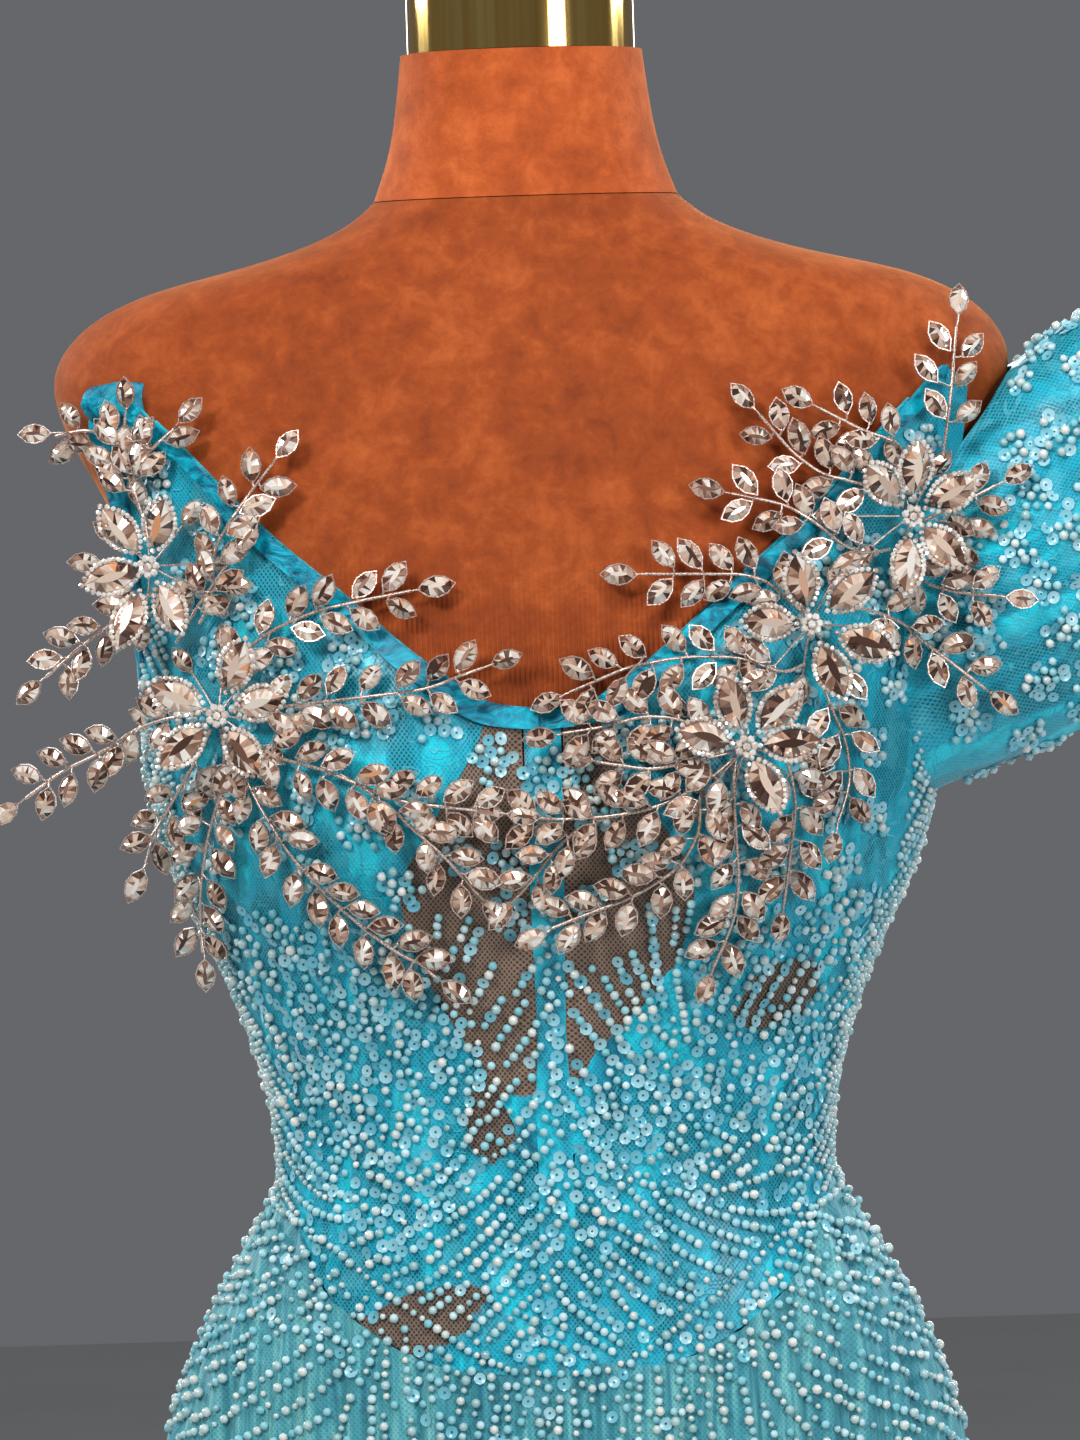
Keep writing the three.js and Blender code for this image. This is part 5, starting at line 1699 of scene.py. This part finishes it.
def wires(name, lines):
    """Round wires through lists of places, each list with its own radius."""
    curve = bpy.data.curves.new(name, "CURVE")
    curve.dimensions = "3D"
    curve.bevel_depth = 1
    curve.bevel_resolution = 1
    curve.use_fill_caps = True
    for places, radius in lines:
        spline = curve.splines.new("POLY")
        spline.points.add(len(places) - 1)
        for point, place in zip(spline.points, places):
            point.co = (*place, 1)
            point.radius = radius
    piece = bpy.data.objects.new(name, curve)
    bpy.context.collection.objects.link(piece)
    select_only(piece)
    bpy.ops.object.convert(target="MESH")
    bpy.ops.object.shade_smooth()
    return bpy.context.object


def shaken(way, lean, draw):
    """A direction tipped at random to the sides and up or down."""
    tipped = way + np.array([draw.uniform(-lean, lean), 0, draw.uniform(-lean, lean)])
    return tipped / np.linalg.norm(tipped)


def set_leaf(leaves, spot, lift, way, lean, sizes, draw):
    """Sets one leaf stone over a spot, and gives back its stalk's end and its directions."""
    place, out = settled(spot[0], spot[1], lift)
    axes = leaned(np.array([way[0], 0, way[1]]), shaken(out, lean, draw))
    size = draw.uniform(*sizes)
    leaves.append((place, axes, size * LEAF_SIZE, draw.uniform(*LEAF_TONES)))
    return place - axes[0] * size * LEAF_SIZE[0] * 0.5, axes


def stalk(start, end, bow, axes):
    """A short wire to a leaf, bowed at its middle and run on a little under the stone."""
    return np.array([start, (start + end) / 2 + bow, end + axes[0] * MM]), STALK_RADIUS


def grow_stem(line, leaves, lines, draw):
    """A wired stem over the gown, with its leaves in pairs and one at the tip."""
    dense, _ = evenly(line, STEM_STEP)
    stem = []
    for k, (x, height) in enumerate(dense):
        lift = PIN_LIFT * (0.75 + 0.25 * k / len(dense))
        stem.append(on_front(x, height, lift)[0])
    stem = np.array(stem)
    for _ in range(3):
        stem[1:-1] = (stem[:-2] + 2 * stem[1:-1] + stem[2:]) / 4
    lines.append((stem, STEM_RADIUS))
    joints, ways = evenly(line, LEAF_GAP)
    for k in range(1, len(joints)):
        for hand in ((0,) if k == len(joints) - 1 else (1, -1)):
            turn = hand * LEAF_SPREAD * draw.uniform(0.75, 1.2)
            spin = np.array([[math.cos(turn), -math.sin(turn)], [math.sin(turn), math.cos(turn)]])
            way = spin @ ways[k]
            base = joints[k] + ways[k] * hand * draw.uniform(-1.5, 1.5) * MM
            heart = base + way * (LEAF_STALK + LEAF_SIZE[0] / 2)
            lift = PIN_LIFT + draw.uniform(-1.5, 2.5) * MM
            end, axes = set_leaf(leaves, heart, lift, way, 0.22, (0.92, 1.1), draw)
            root = stem[np.argmin(np.linalg.norm(stem - end, axis=1))]
            lines.append(stalk(root, end, axes[2] * 0.5 * MM, axes))


def rim_petal(place, axes, gems, draw):
    """Rhinestone chain all round one petal."""
    for k in range(CHAIN_STONES):
        along, across = lens(math.remainder(k * math.tau / CHAIN_STONES, math.tau))
        rim = axes[0] * along * (PETAL_SIZE[0] / 2 + CHAIN_CLEAR[0])
        rim = rim + axes[1] * across * (PETAL_SIZE[1] / 2 + CHAIN_CLEAR[1])
        tilt = axes[2] + np.array([draw.uniform(-0.3, 0.3) for _ in range(3)])
        turned = leaned(axes[0], tilt / np.linalg.norm(tilt))
        spot = place + rim + axes[2] * 0.4 * MM
        gems.append((spot, turned, np.full(3, CHAIN_STONE), draw.uniform(0.2, 1)))


def make_flower(middle, petal_middles, leaves, petals, gems, lines, draw):
    """A flower head: five rimmed petals, leaves crowded under them, and a heart of stones."""
    x, height = middle
    heart, out = settled(x * MM, height * MM, PIN_LIFT + HEART_LIFT)
    for petal_x, petal_height in petal_middles:
        flat = np.array([petal_x - x, 0, petal_height - height]) * MM
        _, petal_out = settled(petal_x * MM, petal_height * MM, PIN_LIFT)
        face = out * 0.6 + petal_out * 0.4 - flat / np.linalg.norm(flat) * PETAL_RISE
        axes = leaned(flat, face / np.linalg.norm(face))
        place = heart + axes[0] * np.linalg.norm(flat) + out * draw.uniform(0, 1.2) * MM
        petals.append((place, axes, PETAL_SIZE, draw.uniform(*PETAL_TONES)))
        rim_petal(place, axes, gems, draw)
    for k in range(CROWD_LEAVES):
        angle = (k + draw.uniform(-0.35, 0.35)) * math.tau / CROWD_LEAVES
        way = np.array([math.cos(angle), math.sin(angle)])
        spot = np.array(middle) * MM + way * draw.uniform(*CROWD_REACH)
        lift = PIN_LIFT + draw.uniform(-6, -3) * MM
        end, axes = set_leaf(leaves, spot, lift, way, 0.35, (0.85, 1.0), draw)
        lines.append(stalk(heart, end, -out * MM, axes))
    axes = leaned(np.array([1.0, 0, 0.1]), out)
    for k in range(HEART_STONES + 1):
        angle = k * math.tau / HEART_STONES
        reach = HEART_RING if k else 0
        ring = axes[0] * math.cos(angle) * reach + axes[1] * math.sin(angle) * reach
        spot = heart + ring + out * (2.2 if k else 3.0) * MM
        gems.append((spot, axes, np.full(3, HEART_STONE), 0.6 + 0.4 * draw.random()))


FACET_SPREAD = 0.58
for word in ("left", "right"):
    draw = random.Random(7 if word == "left" else 11)
    leaves, petals, gems, lines = [], [], [], []
    for line in STEMS[word]:
        grow_stem(line, leaves, lines, draw)
    for middle, petal_middles in FLOWERS[word]:
        make_flower(middle, petal_middles, leaves, petals, gems, lines, draw)
    branch_nodes = [name for name in nodes if name.startswith("branch") and name.endswith(word)]
    flower_nodes = [name for name in nodes if name.startswith("flower") and name.endswith(word)]
    for name, made, shape, finish, spread, stands_for in (
        (f"spray_leaves_{word}", leaves, leaf_shape, crystal, FACET_SPREAD, branch_nodes),
        (f"spray_settings_{word}", leaves, setting_shape, silver, 0, []),
        (f"spray_petals_{word}", petals, petal_shape, crystal, FACET_SPREAD, flower_nodes),
        (f"spray_chain_{word}", gems, gem_shape, bright_stone, 0.3, []),
    ):
        places, turns, sizes, tones = (np.array([one[k] for one in made]) for k in range(4))
        piece = repeat(name, shape, places, turns, sizes, tones, smooth=False, face_spread=spread, seed=3)
        finish_piece(piece, finish, "crystal", *stands_for)
    finish_piece(wires(f"spray_wires_{word}", lines), silver, "crystal")
